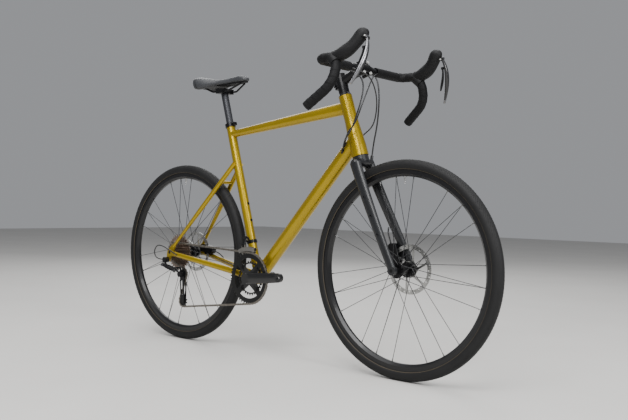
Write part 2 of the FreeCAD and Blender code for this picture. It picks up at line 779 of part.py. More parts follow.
def rim(centre):
    wide = RIM_WIDTH / 2
    lip = BEAD_RADIUS + RIM_LIP
    bed = wide - RIM_FLANGE
    flat = RIM_INNER_FLAT / 2
    shoulder = BEAD_RADIUS - RIM_DEPTH / 2
    well = BEAD_RADIUS - RIM_WALL
    outer = [(-wide, lip), (-bed, lip), (-bed, BEAD_RADIUS), (bed, BEAD_RADIUS), (bed, lip), (wide, lip),
             (wide, shoulder), (flat, RIM_INNER), (-flat, RIM_INNER), (-wide, shoulder)]
    floor = RIM_INNER + RIM_WALL
    hollow = [(-bed, well), (bed, well), (bed, shoulder), (flat, floor), (-flat, floor), (-bed, shoulder)]
    body = spun(rim_profile(centre, outer), centre)
    return body.cut(spun(rim_profile(centre, hollow), centre))


def rim_with_valve(centre):
    """The rim, bored for its tyre valve, and the valve with its nut."""
    start = centre + UP * (BEAD_RADIUS - RIM_WALL - SEAT_FIT)
    end = start - UP * VALVE_LENGTH
    tip_share = 0.3
    neck = end + UP * (VALVE_LENGTH * tip_share)
    valve = rod(neck, start, VALVE_RADIUS).fuse(rod(end, neck, VALVE_TIP_RADIUS))
    nut_top = centre + UP * (RIM_INNER - SEAT_FIT)
    nut = pipe(nut_top - UP * VALVE_NUT_LENGTH, nut_top, VALVE_NUT_RADIUS, VALVE_RADIUS + SEAT_FIT)
    hole = rod(end, start, VALVE_RADIUS + SEAT_FIT)
    return group([rim(centre).cut(hole), valve, nut])


def polar(centre, radius, angle, y):
    return centre + V(radius * math.cos(angle), y, radius * math.sin(angle))


def spoke_places(centre, drive_y, disc_y):
    """Elbow, head, cap and rim end of each spoke, half of them to each flange."""
    per_side = SPOKES // 2
    step = 2 * math.pi / per_side
    places = []
    for flange_y, shift in ((-drive_y, 0), (disc_y, step / 2)):
        out = math.copysign(1, flange_y)
        for i in range(per_side):
            sense = 1 if i % 2 else -1
            hole = i * step + shift
            face = flange_y + out * sense * (FLANGE_THICKNESS / 2 + SPOKE_RADIUS + SEAT_FIT)
            back = flange_y - out * sense * (FLANGE_THICKNESS / 2 + SEAT_FIT)
            elbow = polar(centre, SPOKE_HOLE_RADIUS, hole, face)
            head = polar(centre, SPOKE_HOLE_RADIUS, hole, back)
            cap = head - SIDE * (out * sense * SPOKE_RADIUS)
            rim_angle = hole + sense * step * (SPOKE_CROSS_STEP / 2 + SPOKE_SHIFT_SHARE)
            places.append((elbow, head, cap, polar(centre, RIM_INNER - SEAT_FIT, rim_angle, 0)))
    return places


def spokes(centre, drive_y, disc_y):
    """Crossed spokes, bent through the flange at the hub, each with its nipple."""
    pieces = []
    for elbow, head, cap, tip in spoke_places(centre, drive_y, disc_y):
        inward = (elbow - tip).normalize()
        neck = tip + inward * NIPPLE_LENGTH
        spoke = rod(elbow, neck, SPOKE_RADIUS).fuse(rod(elbow, head, SPOKE_RADIUS))
        spoke = spoke.fuse(rod(head, cap, SPOKE_HEAD_RADIUS)).fuse(Part.makeSphere(SPOKE_RADIUS, elbow))
        pieces.append(spoke)
        pieces.append(cone(tip + inward * TOUCH_GAP, neck, NIPPLE_RADIUS, (NIPPLE_RADIUS + SPOKE_RADIUS) / 2))
    return group(pieces)


def flange(centre, y):
    ring = disc(centre + SIDE * y, FLANGE_RADIUS, THRU_AXLE_RADIUS + RUNNING_FIT, FLANGE_THICKNESS)
    per_side = SPOKES // 2
    step = 2 * math.pi / per_side
    shift = step / 2 if y > 0 else 0
    reach = FLANGE_THICKNESS
    holes = []
    for i in range(per_side):
        a = polar(centre, SPOKE_HOLE_RADIUS, i * step + shift, y - reach)
        b = polar(centre, SPOKE_HOLE_RADIUS, i * step + shift, y + reach)
        holes.append(rod(a, b, SPOKE_RADIUS + SEAT_FIT))
    return ring.cut(Part.makeCompound(holes))


def hub(centre, half, drive_y, disc_y):
    """The hub shell with its flanges, rotor seat and end caps, bored for the axle."""
    rotor_y = half - ROTOR_INSET
    bore = THRU_AXLE_RADIUS + RUNNING_FIT
    shell = disc(centre + SIDE * ((disc_y - drive_y) / 2), HUB_SHELL_RADIUS, bore, disc_y + drive_y)
    seat = rotor_y - ROTOR_THICKNESS / 2 - SEAT_FIT
    body = shell.fuse(flange(centre, -drive_y)).fuse(flange(centre, disc_y))
    body = body.fuse(pipe(centre + SIDE * disc_y, centre + SIDE * seat, ROTOR_BORE_RADIUS - SEAT_FIT, bore))
    body = body.fuse(pipe(centre + SIDE * (seat - LOCKRING_WIDTH), centre + SIDE * seat, LOCKRING_RADIUS,
                          bore))
    reach = seat + ROTOR_THICKNESS + LOCKRING_WIDTH
    body = body.fuse(pipe(centre + SIDE * seat, centre + SIDE * reach, ROTOR_BORE_RADIUS - SEAT_FIT, bore))
    body = body.fuse(pipe(centre + SIDE * reach, centre + SIDE * (half - SEAT_FIT), HUB_TUBE_RADIUS, bore))
    body = body.fuse(pipe(centre - SIDE * (half - SEAT_FIT), centre - SIDE * drive_y, HUB_TUBE_RADIUS, bore))
    grooves = []
    for elbow, head, cap, tip in spoke_places(centre, drive_y, disc_y):
        grooves.append(rod(elbow, elbow + (tip - elbow).normalize() * FLANGE_RADIUS, SPOKE_RADIUS + SEAT_FIT))
    return largest(body.removeSplitter().cut(Part.makeCompound(grooves)))


def rotor(centre, half):
    """A slotted braking ring on curved arms, held to the hub by a lock ring."""
    y = half - ROTOR_INSET
    middle = centre + SIDE * y
    track = disc(middle, ROTOR_RADIUS, ROTOR_RADIUS - ROTOR_TRACK, ROTOR_THICKNESS)
    plate = disc(middle, ROTOR_CENTRE_RADIUS, ROTOR_BORE_RADIUS, ROTOR_THICKNESS)
    arm_lean_share = 0.35
    low = y - ROTOR_THICKNESS / 2
    high = y + ROTOR_THICKNESS / 2
    root = (ROTOR_CENTRE_RADIUS + ROTOR_BORE_RADIUS) / 2
    end = ROTOR_RADIUS - ROTOR_TRACK / 2
    step = 2 * math.pi / ROTOR_ARMS
    for i in range(ROTOR_ARMS):
        a = polar(centre, root, i * step, y)
        b = polar(centre, end, i * step + step * arm_lean_share, y)
        plate = plate.fuse(strap(a, b, ROTOR_ARM_WIDTH / 2, ROTOR_ARM_WIDTH / 2, low, high))
    holes = []
    for i in range(ROTOR_SLOTS):
        wave = ROTOR_SLOT_RADIUS * (1 if i % 2 else -1)
        angle = 2 * math.pi * i / ROTOR_SLOTS
        a = polar(centre, end + wave, angle, low - OVERRUN)
        holes.append(rod(a, a + SIDE * (ROTOR_THICKNESS + 2 * OVERRUN), ROTOR_SLOT_RADIUS))
    blade = track.fuse(plate).cut(rod(*across(middle, LOCKRING_WIDTH), ROTOR_BORE_RADIUS))
    blade = blade.cut(Part.makeCompound(holes)).removeSplitter()
    ring_low = centre + SIDE * (high + SEAT_FIT)
    lock = pipe(ring_low, ring_low + SIDE * LOCKRING_WIDTH, LOCKRING_RADIUS, ROTOR_BORE_RADIUS)
    return group([blade, lock])


# Chain path: ring, cog, guide pulley and tension pulley, joined by tangent runs
def pitch_radius(teeth):
    return CHAIN_PITCH / (2 * math.sin(math.pi / teeth))


GUIDE = REAR_AXLE + V(GUIDE_AHEAD, 0, -GUIDE_DROP)


def tension_place(lean):
    return GUIDE + V(CAGE_LENGTH * sin_deg(lean), 0, -CAGE_LENGTH * cos_deg(lean))


def chain_course(lean):
    """The stops of the chain's loop, each as centre, teeth and turning sense."""
    return [(BB, RING_TEETH, 1), (REAR_AXLE, COG_TEETH[CHAIN_COG], 1),
            (GUIDE, PULLEY_TEETH, -1), (tension_place(lean), PULLEY_TEETH, 1)]


def tangent_run(first, second):
    """The heading and the two ends of the run from one sprocket to the next."""
    (c1, n1, s1), (c2, n2, s2) = first, second
    gap = c2 - c1
    offset = s2 * pitch_radius(n2) - s1 * pitch_radius(n1)
    heading = math.atan2(gap.z, gap.x) - math.asin(offset / math.hypot(gap.x, gap.z))
    left = V(-math.sin(heading), 0, math.cos(heading))
    return heading, c1 - left * (s1 * pitch_radius(n1)), c2 - left * (s2 * pitch_radius(n2))


def chain_segments(lean):
    """Runs and wraps in order, each with its length counted in links."""
    course = chain_course(lean)
    runs = [tangent_run(a, b) for a, b in zip(course, course[1:] + course[:1])]
    segments = []
    for i, (heading, start, end) in enumerate(runs):
        segments.append(("run", start, heading, (end - start).Length / CHAIN_PITCH))
        centre, teeth, sense = course[(i + 1) % len(course)]
        leave = runs[(i + 1) % len(runs)][1]
        a = math.atan2(end.z - centre.z, end.x - centre.x)
        b = math.atan2(leave.z - centre.z, leave.x - centre.x)
        wrap = (sense * (b - a)) % (2 * math.pi)
        segments.append(("wrap", (centre, teeth, sense), a, wrap * teeth / (2 * math.pi)))
    return segments


def chain_links(lean):
    return sum(segment[3] for segment in chain_segments(lean))


def settled_lean():
    """The cage angle near the wanted one that closes the chain on whole links."""
    wanted = 2 * round(chain_links(CAGE_LEAN) / 2)
    low = CAGE_LEAN - LINK_TILT
    high = CAGE_LEAN + LINK_TILT
    while high - low > WELD_GAP ** 4:
        middle = (low + high) / 2
        if (chain_links(middle) - wanted) * (chain_links(high) - wanted) > 0:
            high = middle
        else:
            low = middle
    return high


CAGE_ANGLE = settled_lean()
TENSION = tension_place(CAGE_ANGLE)
CHAIN_SEGMENTS = chain_segments(CAGE_ANGLE)
CHAIN_COUNT = round(chain_links(CAGE_ANGLE))


def roller_place(count):
    """Where a roller sits when it is so many links round the loop."""
    count = count % CHAIN_COUNT
    for kind, place, angle, length in CHAIN_SEGMENTS:
        if count <= length:
            break
        count -= length
    if kind == "run":
        return place + V(math.cos(angle), 0, math.sin(angle)) * (count * CHAIN_PITCH)
    centre, teeth, sense = place
    return polar(centre, pitch_radius(teeth), angle + sense * count * 2 * math.pi / teeth, 0)


def tooth_phase(index):
    """The angle of a tooth gap on the sprocket of that wrap."""
    before = sum(segment[3] for segment in CHAIN_SEGMENTS[:index])
    kind, (centre, teeth, sense), angle, length = CHAIN_SEGMENTS[index]
    ahead = math.ceil(before) - before
    return angle + sense * ahead * 2 * math.pi / teeth


COG_PHASE, GUIDE_PHASE, TENSION_PHASE, RING_PHASE = (tooth_phase(i) for i in (1, 3, 5, 7))


def chain_plate(y, thickness):
    end = V(CHAIN_PITCH, 0, 0)
    waist_share = 0.72
    plate = rod(*across(SIDE * y, thickness / 2), PLATE_RADIUS)
    plate = plate.fuse(rod(*across(end + SIDE * y, thickness / 2), PLATE_RADIUS))
    bar = strap(V(0, 0, 0), end, PLATE_RADIUS * waist_share, PLATE_RADIUS * waist_share,
                y - thickness / 2, y + thickness / 2)
    return plate.fuse(bar).removeSplitter()


def inner_link():
    """Two plates and two rollers, bored for the pins."""
    y = INNER_LINK_GAP / 2 + PLATE_THICKNESS / 2
    half = INNER_LINK_GAP / 2 + PLATE_THICKNESS
    link = chain_plate(y, PLATE_THICKNESS).fuse(chain_plate(-y, PLATE_THICKNESS))
    for x in (0, CHAIN_PITCH):
        link = link.fuse(rod(*across(V(x, 0, 0), half), ROLLER_RADIUS))
    for x in (0, CHAIN_PITCH):
        link = link.cut(rod(*across(V(x, 0, 0), half + OVERRUN), PIN_RADIUS + RUNNING_FIT))
    return link.removeSplitter()


def outer_link():
    """Two plates joined by two pins."""
    inner = INNER_LINK_GAP / 2 + PLATE_THICKNESS + LINK_SIDE_GAP
    y = inner + PLATE_THICKNESS / 2
    link = chain_plate(y, PLATE_THICKNESS).fuse(chain_plate(-y, PLATE_THICKNESS))
    for x in (0, CHAIN_PITCH):
        link = link.fuse(rod(*across(V(x, 0, 0), inner + PLATE_THICKNESS), PIN_RADIUS))
    return link.removeSplitter()


def chain():
    inner = inner_link()
    outer = outer_link()
    links = []
    for i in range(CHAIN_COUNT):
        start = roller_place(i)
        end = roller_place(i + 1)
        slope = math.degrees(math.atan2(end.z - start.z, end.x - start.x))
        link = (inner if i % 2 else outer).copy()
        link.Placement = FreeCAD.Placement(start - SIDE * CHAIN_LINE, FreeCAD.Rotation(SIDE, -slope))
        links.append(link)
    return group(links)


def sprocket(teeth, centre, phase, y, width, bore):
    """A toothed plate whose gaps seat the chain's rollers."""
    radius = pitch_radius(teeth)
    seat = ROLLER_RADIUS + TOOTH_ROOM
    reach = 2 * math.asin(seat / (2 * radius))
    tip = radius + TOOTH_HEIGHT
    step = 2 * math.pi / teeth
    land_share = 0.12
    low = y - width / 2
    edges = []
    for i in range(teeth):
        gap = phase + i * step
        left = polar(centre, radius, gap - reach, low)
        right = polar(centre, radius, gap + reach, low)
        rise = polar(centre, tip, gap + step / 2 - step * land_share, low)
        fall = polar(centre, tip, gap + step / 2 + step * land_share, low)
        after = polar(centre, radius, gap + step - reach, low)
        edges.append(Part.Arc(left, polar(centre, radius - seat, gap, low), right).toShape())
        for a, b in ((right, rise), (rise, fall), (fall, after)):
            edges.append(Part.LineSegment(a, b).toShape())
    hole = Part.Wire([Part.Circle(centre + SIDE * low, SIDE, bore).toShape()])
    face = Part.Face(Part.Wire(edges)).cut(Part.Face(hole))
    return face.extrude(SIDE * width)


def cassette():
    """Eleven cogs and their spacers on the freehub body, held by a lock ring."""
    pieces = []
    step = COG_PITCH - COG_THICKNESS
    for i, teeth in enumerate(COG_TEETH):
        y = -CHAIN_LINE + (i - CHAIN_COG) * COG_PITCH
        phase = COG_PHASE if i == CHAIN_COG else 0
        cog = sprocket(teeth, REAR_AXLE, phase, y, COG_THICKNESS, COG_BORE_RADIUS)
        pieces.append(cog)
        if i:
            middle = y - COG_THICKNESS / 2 - step / 2
            spacer = min(SPACER_RADIUS, pitch_radius(COG_TEETH[i - 1]) - ROLLER_RADIUS - OVERRUN)
            pieces.append(disc(REAR_AXLE + SIDE * middle, spacer, COG_BORE_RADIUS, step))
    small = -CHAIN_LINE - CHAIN_COG * COG_PITCH - COG_THICKNESS / 2
    large = -CHAIN_LINE + (len(COG_TEETH) - 1 - CHAIN_COG) * COG_PITCH + COG_THICKNESS / 2
    bore = HUB_TUBE_RADIUS + RUNNING_FIT
    pieces.append(pipe(REAR_AXLE + SIDE * small, REAR_AXLE + SIDE * large, FREEHUB_RADIUS, bore))
    lock = REAR_AXLE + SIDE * (small - WELD_GAP)
    pieces.append(pipe(lock - SIDE * (LOCKRING_WIDTH / 2), lock, FREEHUB_RADIUS, bore))
    return group(pieces)


# Cranks: right arm with its spider and spindle, left arm, and two rings with their bolts
SPIDER_OUTER = CHAIN_LINE - RING_THICKNESS / 2 - SEAT_FIT
SPIDER_INNER = CHAIN_LINE - RING_SPACING + RING_THICKNESS / 2 + SEAT_FIT
BOSS_INNER = SHELL_WIDTH / 2 + CUP_LENGTH + TOUCH_GAP


def arm(side, angle):
    """A crank arm that flares outwards to its pedal eye."""
    line = V(cos_deg(angle), 0, sin_deg(angle))
    up = SIDE.cross(line) * -1
    inner = ARM_STANDOFF + ARM_THICKNESS / 2
    outer = inner + ARM_FLARE
    end = BB + line * CRANK_LENGTH
    waist_shares = ((0, inner, 0.85), (0.5, inner + ARM_FLARE / 3, 0.78), (1, outer, 0.68))
    sections = []
    for share, y, height_share in waist_shares:
        centre = BB + line * (CRANK_LENGTH * share) + SIDE * (side * y)
        sections.append(oval(centre, SIDE, up, ARM_THICKNESS / 2, ARM_WAIST_HEIGHT * height_share))
    body = loft(sections)
    eye_low, eye_high = sorted((side * (outer - ARM_THICKNESS / 2), side * (outer + ARM_THICKNESS / 2)))
    body = body.fuse(rod(end + SIDE * eye_low, end + SIDE * eye_high, PEDAL_EYE_RADIUS))
    boss_end = ARM_STANDOFF + ARM_THICKNESS
    body = body.fuse(rod(BB + SIDE * (side * BOSS_INNER), BB + SIDE * (side * boss_end), CRANK_BOSS_RADIUS))
    thread = rod(end + SIDE * (eye_low - OVERRUN), end + SIDE * (eye_high + OVERRUN), PEDAL_BORE_RADIUS)
    return body.cut(thread)


def spider_angles():
    return [CRANK_ANGLE + SPIDER_TURN + 360 / SPIDER_ARMS * i for i in range(SPIDER_ARMS)]


def crank_arms():
    right = arm(-1, CRANK_ANGLE)
    holes = []
    for turn in spider_angles():
        tab = polar(BB, RING_BOLT_CIRCLE, math.radians(turn), 0)
        small = polar(BB, SMALL_BOLT_CIRCLE, math.radians(turn), 0)
        right = right.fuse(strap(BB, tab, CRANK_BOSS_RADIUS, SPIDER_TAB_RADIUS, -SPIDER_OUTER, -SPIDER_INNER))
        for bolt in (tab, small):
            holes.append(rod(bolt - SIDE * ARM_STANDOFF, bolt - SIDE * (SPIDER_INNER - OVERRUN),
                             RING_BOLT_RADIUS + SEAT_FIT))
    right = right.cut(Part.makeCompound(holes))
    half = ARM_STANDOFF + ARM_THICKNESS / 2
    spindle = rod(*across(BB, half), SPINDLE_RADIUS)
    room = rod(*across(BB, half + SEAT_FIT), SPINDLE_RADIUS + SEAT_FIT)
    left = arm(1, CRANK_ANGLE + 180)
    return group([right.removeSplitter().cut(room), left.cut(room), spindle])


def ring_plate(teeth, phase, y, rim_width, bolt_circle):
    bore = pitch_radius(teeth) - rim_width
    plate = sprocket(teeth, BB, phase, y, RING_THICKNESS, bore)
    root_radius = pitch_radius(teeth) - ROLLER_RADIUS - OVERRUN - SPIDER_TAB_RADIUS
    low = y - RING_THICKNESS / 2
    high = y + RING_THICKNESS / 2
    for turn in spider_angles():
        tab = polar(BB, bolt_circle, math.radians(turn), 0)
        root = polar(BB, root_radius, math.radians(turn), 0)
        plate = plate.fuse(strap(root, tab, SPIDER_TAB_RADIUS, SPIDER_TAB_RADIUS, low, high))
        hole = rod(tab + SIDE * (low - OVERRUN), tab + SIDE * (high + OVERRUN), RING_BOLT_RADIUS + SEAT_FIT)
        plate = plate.cut(hole)
    return plate.removeSplitter()


def chainrings():
    small_y = -CHAIN_LINE + RING_SPACING
    pieces = [ring_plate(RING_TEETH, RING_PHASE, -CHAIN_LINE, RING_RIM, RING_BOLT_CIRCLE),
              ring_plate(SMALL_RING_TEETH, 0, small_y, SMALL_RING_RIM, SMALL_BOLT_CIRCLE)]
    face = -CHAIN_LINE - RING_THICKNESS / 2 - SEAT_FIT
    back = small_y + RING_THICKNESS / 2 + SEAT_FIT
    for turn in spider_angles():
        tab = polar(BB, RING_BOLT_CIRCLE, math.radians(turn), 0)
        bolt = rod(tab + SIDE * face, tab - SIDE * SPIDER_INNER, RING_BOLT_RADIUS)
        pieces.append(bolt.fuse(rod(tab + SIDE * (face - RING_BOLT_HEAD), tab + SIDE * face,
                                    RING_BOLT_HEAD_RADIUS)))
        small = polar(BB, SMALL_BOLT_CIRCLE, math.radians(turn), 0)
        bolt = rod(small + SIDE * back, small - SIDE * SPIDER_OUTER, RING_BOLT_RADIUS)
        pieces.append(bolt.fuse(rod(small + SIDE * back, small + SIDE * (back + RING_BOLT_HEAD / 2),
                                    RING_BOLT_HEAD_RADIUS)))
    return group(pieces)


# Rear derailleur: a parallelogram between two knuckles, and a sprung cage with two pulleys
LINK_AXIS = V(0, sin_deg(LINK_TILT), cos_deg(LINK_TILT))
LINK_VECTOR = V(LINK_AHEAD, LINK_INWARD, -LINK_DROP)
LINK_OUTER_BASE = REAR_AXLE + V(-LINK_BACK, -LINK_BASE_SIDE, -LINK_BASE_DROP)
LINK_INNER_BASE = LINK_OUTER_BASE + SIDE * LINK_SPREAD
LUG_RISE = LINK_EYE_HEIGHT / 2 + LINK_EYE_RADIUS * sin_deg(LINK_TILT) + 2 * LUG_CLEAR + LUG_RADIUS
STOP_SIDE = LINK_OUTER_BASE.y + LINK_SPREAD / 2 + LINK_AXIS.y * LUG_RISE
CAGE_INNER = CHAIN_LINE - CAGE_GAP / 2
CAGE_OUTER = CHAIN_LINE + CAGE_GAP / 2 + CAGE_PLATE
KNUCKLE_INNER = CAGE_OUTER + TOUCH_GAP


def eye(point, length=LINK_EYE_HEIGHT, radius=LINK_EYE_RADIUS):
    return rod(point - LINK_AXIS * (length / 2), point + LINK_AXIS * (length / 2), radius)


def derailleur_link(base):
    end = base + LINK_VECTOR
    line = (end - base).normalize()
    out = line.cross(LINK_AXIS).normalize()
    up = out.cross(line)
    wide = LINK_HALF_HEIGHT - LUG_CLEAR
    sections = [oval(base, out, up, LINK_HALF_THICKNESS, wide / 2),
                oval((base + end) / 2, out, up, LINK_HALF_THICKNESS, wide),
                oval(end, out, up, LINK_HALF_THICKNESS, wide / 2)]
    link = loft(sections).fuse(eye(base)).fuse(eye(end))
    for point in (base, end):
        link = link.cut(eye(point, LINK_EYE_HEIGHT + 2 * OVERRUN, LINK_PIN_RADIUS + RUNNING_FIT))
    return link


def lug_bar(outer, inner):
    """The bar over two link eyes, with the pins that the eyes turn on."""
    lift = LINK_AXIS * LUG_RISE
    bar = rod(outer + lift, inner + lift, LUG_RADIUS)
    for point in (outer, inner):
        bar = bar.fuse(Part.makeSphere(LUG_RADIUS, point + lift))
        bar = bar.fuse(rod(point - LINK_AXIS * (LINK_EYE_HEIGHT / 2), point + lift, LINK_PIN_RADIUS))
    return bar


def rd_b_knuckle():
    """The knuckle bolted to the hanger, with the cable stop behind it."""
    low = -(DROPOUT_INNER + DROPOUT_THICKNESS + TOUCH_GAP)
    bolt_head = V(HANGER.x, -LINK_BASE_SIDE, HANGER.z)
    body = rod(V(HANGER.x, low, HANGER.z), bolt_head, KNUCKLE_RADIUS)
    bolt = rod(V(HANGER.x, -DROPOUT_INNER, HANGER.z), V(HANGER.x, low, HANGER.z), HANGER_BOLT_RADIUS)
    lift = LINK_AXIS * LUG_RISE
    middle = (LINK_OUTER_BASE + LINK_INNER_BASE) / 2 + lift
    body = body.fuse(bolt).fuse(lug_bar(LINK_OUTER_BASE, LINK_INNER_BASE))
    root = V(HANGER.x, STOP_SIDE, HANGER.z)
    body = body.fuse(cone(root, middle, KNUCKLE_RADIUS / 2, LUG_RADIUS))
    stop = root - FORWARD * (KNUCKLE_RADIUS + STOP_LENGTH)
    return body.fuse(rod(root, stop, STOP_RADIUS)).removeSplitter()


def rd_p_knuckle():
    """The knuckle that carries the cage's pivot."""
    inner = GUIDE - SIDE * KNUCKLE_INNER
    outer = inner - SIDE * KNUCKLE_LENGTH
    body = rod(outer, inner, KNUCKLE_RADIUS)
    lift = LINK_AXIS * LUG_RISE
    first = LINK_OUTER_BASE + LINK_VECTOR
    second = LINK_INNER_BASE + LINK_VECTOR
    middle = (first + second) / 2 + lift
    neck = V(GUIDE.x, (inner.y + outer.y) / 2, middle.z)
    body = body.fuse(lug_bar(first, second)).fuse(rod(middle, neck, LUG_RADIUS))
    body = body.fuse(Part.makeSphere(LUG_RADIUS, neck))
    body = body.fuse(rod(neck, V(neck.x, neck.y, GUIDE.z), LUG_RADIUS))
    return body.cut(rod(outer + SIDE * OVERRUN, inner + SIDE * OVERRUN,
                        CAGE_AXLE_RADIUS + RUNNING_FIT)).removeSplitter()


def rd_cage():
    """Two plates joined by the pulleys' bolts, with the axle that the cage swings on."""
    spans = ((-CAGE_OUTER, -CAGE_OUTER + CAGE_PLATE), (-CAGE_INNER, -CAGE_INNER + CAGE_PLATE))
    plates = [strap(GUIDE, TENSION, CAGE_TOP_RADIUS, CAGE_LOW_RADIUS, *span) for span in spans]
    window_shares = (0.3, 0.72)
    cage = plates[0].fuse(plates[1])
    line = TENSION - GUIDE
    starts = [GUIDE + line * share for share in window_shares]
    slot = strap(starts[0], starts[1], CAGE_TOP_RADIUS / 2, CAGE_LOW_RADIUS / 2,
                 -CAGE_OUTER - OVERRUN, -CAGE_INNER + CAGE_PLATE + OVERRUN)
    cage = cage.cut(slot)
    for place in (GUIDE, TENSION):
        cage = cage.fuse(rod(place - SIDE * CAGE_OUTER, place - SIDE * (CAGE_INNER - CAGE_PLATE),
                             PULLEY_BOLT_RADIUS))
    axle_end = GUIDE - SIDE * (KNUCKLE_INNER + KNUCKLE_LENGTH - OVERRUN - TOUCH_GAP)
    return cage.fuse(rod(axle_end, GUIDE - SIDE * CAGE_OUTER, CAGE_AXLE_RADIUS)).removeSplitter()


def pulley(centre, phase):
    wheel = sprocket(PULLEY_TEETH, centre, phase, -CHAIN_LINE, PULLEY_THICKNESS,
                     PULLEY_BOLT_RADIUS + RUNNING_FIT)
    return wheel


# Front derailleur: a band on the seat tube, a swinging arm and the cage over the rings
FD_X = seat_point(FD_BAND_ALONG).x
FD_PIVOT = V(FD_X, -FD_PIVOT_SIDE, BB.z + FD_PIVOT_ABOVE_BB)
FD_CAGE_PIVOT = FD_PIVOT + V(0, -FD_ARM_OUT, -FD_ARM_DROP)


def fd_eye(point):
    return rod(point - FORWARD * (FD_EYE_LENGTH / 2), point + FORWARD * (FD_EYE_LENGTH / 2), FD_EYE_RADIUS)


def front_derailleur_clamp():
    centre = seat_point(FD_BAND_ALONG)
    half = SEAT_UP * (FD_BAND_HEIGHT / 2)
    band = pipe(centre - half, centre + half, SEAT_TUBE_RADIUS + FD_BAND_WALL, SEAT_TUBE_RADIUS + WELD_GAP)
    wing = FORWARD * (FD_EYE_LENGTH / 2 + LUG_RADIUS + LUG_CLEAR)
    body = band
    for end in (FD_PIVOT - wing, FD_PIVOT + wing):
        root = V(end.x, -SEAT_TUBE_RADIUS, centre.z)
        body = body.fuse(rod(root, end, LUG_RADIUS)).fuse(Part.makeSphere(LUG_RADIUS, end))
    body = body.fuse(rod(FD_PIVOT - wing, FD_PIVOT + wing, FD_PIN_RADIUS))
    ear = centre + SIDE * (SEAT_TUBE_RADIUS + FD_BAND_WALL)
    body = body.fuse(rod(ear - SIDE * FD_BAND_WALL, ear + SIDE * FD_EYE_RADIUS, FD_EYE_RADIUS))
    return body.cut(seat_outer(WELD_GAP)).removeSplitter()


def fd_arm():
    body = strap_across(FD_PIVOT, FD_CAGE_PIVOT)
    body = body.fuse(fd_eye(FD_PIVOT)).fuse(fd_eye(FD_CAGE_PIVOT))
    for point in (FD_PIVOT, FD_CAGE_PIVOT):
        body = body.cut(rod(point - FORWARD * FD_EYE_LENGTH, point + FORWARD * FD_EYE_LENGTH,
                            FD_PIN_RADIUS + RUNNING_FIT))
    return body


def strap_across(start, end):
    line = (end - start).normalize()
    out = line.cross(FORWARD)
    half = FD_EYE_LENGTH / 2
    return loft([oval(start, FORWARD, out, half, FD_PIN_RADIUS),
                 oval(end, FORWARD, out, half, FD_PIN_RADIUS)])


def sector(inner, outer, first, last, low, high):
    """A curved plate about the crank axis, between two radii and two angles."""
    middle = math.radians((first + last) / 2)
    a = math.radians(first)
    b = math.radians(last)
    points = {(r, t): polar(BB, r, t, low) for r in (inner, outer) for t in (a, middle, b)}
    edges = [Part.Arc(points[inner, a], points[inner, middle], points[inner, b]).toShape(),
             Part.LineSegment(points[inner, b], points[outer, b]).toShape(),
             Part.Arc(points[outer, b], points[outer, middle], points[outer, a]).toShape(),
             Part.LineSegment(points[outer, a], points[inner, a]).toShape()]
    return Part.Face(Part.Wire(edges)).extrude(SIDE * (high - low))


def fd_cage():
    inner_low = -CHAIN_LINE + FD_CAGE_GAP / 2
    outer_high = -CHAIN_LINE - FD_CAGE_GAP / 2
    top = FD_CAGE_OUTER_RADIUS
    cage = sector(FD_INNER_PLATE_RADIUS, top, FD_CAGE_START, FD_CAGE_END, inner_low,
                  inner_low + FD_CAGE_PLATE)
    cage = cage.fuse(sector(FD_OUTER_PLATE_RADIUS, top, FD_CAGE_START, FD_CAGE_END,
                            outer_high - FD_CAGE_PLATE, outer_high))
    quarter = (FD_CAGE_END - FD_CAGE_START) / 4
    cage = cage.fuse(sector(top - FD_BRIDGE_HEIGHT, top, FD_CAGE_START + quarter, FD_CAGE_END - quarter,
                            outer_high - FD_CAGE_PLATE, inner_low + FD_CAGE_PLATE))
    wing = FORWARD * (FD_EYE_LENGTH / 2 + LUG_CLEAR + FD_CAGE_PLATE)
    for end in (FD_CAGE_PIVOT - wing, FD_CAGE_PIVOT + wing):
        drop = math.sqrt((top - FD_BRIDGE_HEIGHT) ** 2 - (end.x - BB.x) ** 2)
        foot = V(end.x, inner_low + FD_CAGE_PLATE / 2, BB.z + drop)
        cage = cage.fuse(rod(foot, end,
                             FD_CAGE_PLATE + LUG_CLEAR)).fuse(Part.makeSphere(FD_CAGE_PLATE + LUG_CLEAR, end))
    return cage.fuse(rod(FD_CAGE_PIVOT - wing, FD_CAGE_PIVOT + wing, FD_PIN_RADIUS)).removeSplitter()


# Fork: steerer, crown and two legs in one moulding, with axle tips and side bosses
def block(centre, along, across_dir, up, length, width, height):
    """A box about its centre, on three given directions."""
    box = Part.makeBox(length, width, height, V(-length / 2, -width / 2, -height / 2))
    box.Placement = FreeCAD.Placement(centre, FreeCAD.Rotation(along, across_dir, up, "XYZ"))
    return box


LEG_TOP = CROWN_SEAT - CROWN_HEIGHT / 2
LEG_LOW_INSET = FRONT_HUB_WIDTH / 2 + LEG_LOW_WIDTH / 2 + SEAT_FIT


def leg_centre(share, side):
    """The middle of a leg, from the crown at 0 to the axle at 1."""
    sweep_power_share = 1.2
    ahead = FORK_OFFSET * share ** sweep_power_share
    spread = LEG_TOP_INSET + (LEG_LOW_INSET - LEG_TOP_INSET) * share
    return steer_point(LEG_TOP * (1 - share), ahead, side * spread)


def leg_depth(share):
    return LEG_TOP_DEPTH + (LEG_LOW_DEPTH - LEG_TOP_DEPTH) * share


def leg_width(share):
    return LEG_TOP_WIDTH + (LEG_LOW_WIDTH - LEG_TOP_WIDTH) * share


def leg_form(side, grow=0):
    station_shares = (0, 0.2, 0.45, 0.75, 1)
    sections = []
    for t in station_shares:
        wide = leg_width(t) / 2 + grow
        sections.append(oval(leg_centre(t, side), SIDE, STEER_AHEAD, wide, leg_depth(t) / 2 + grow))
    return loft(sections)


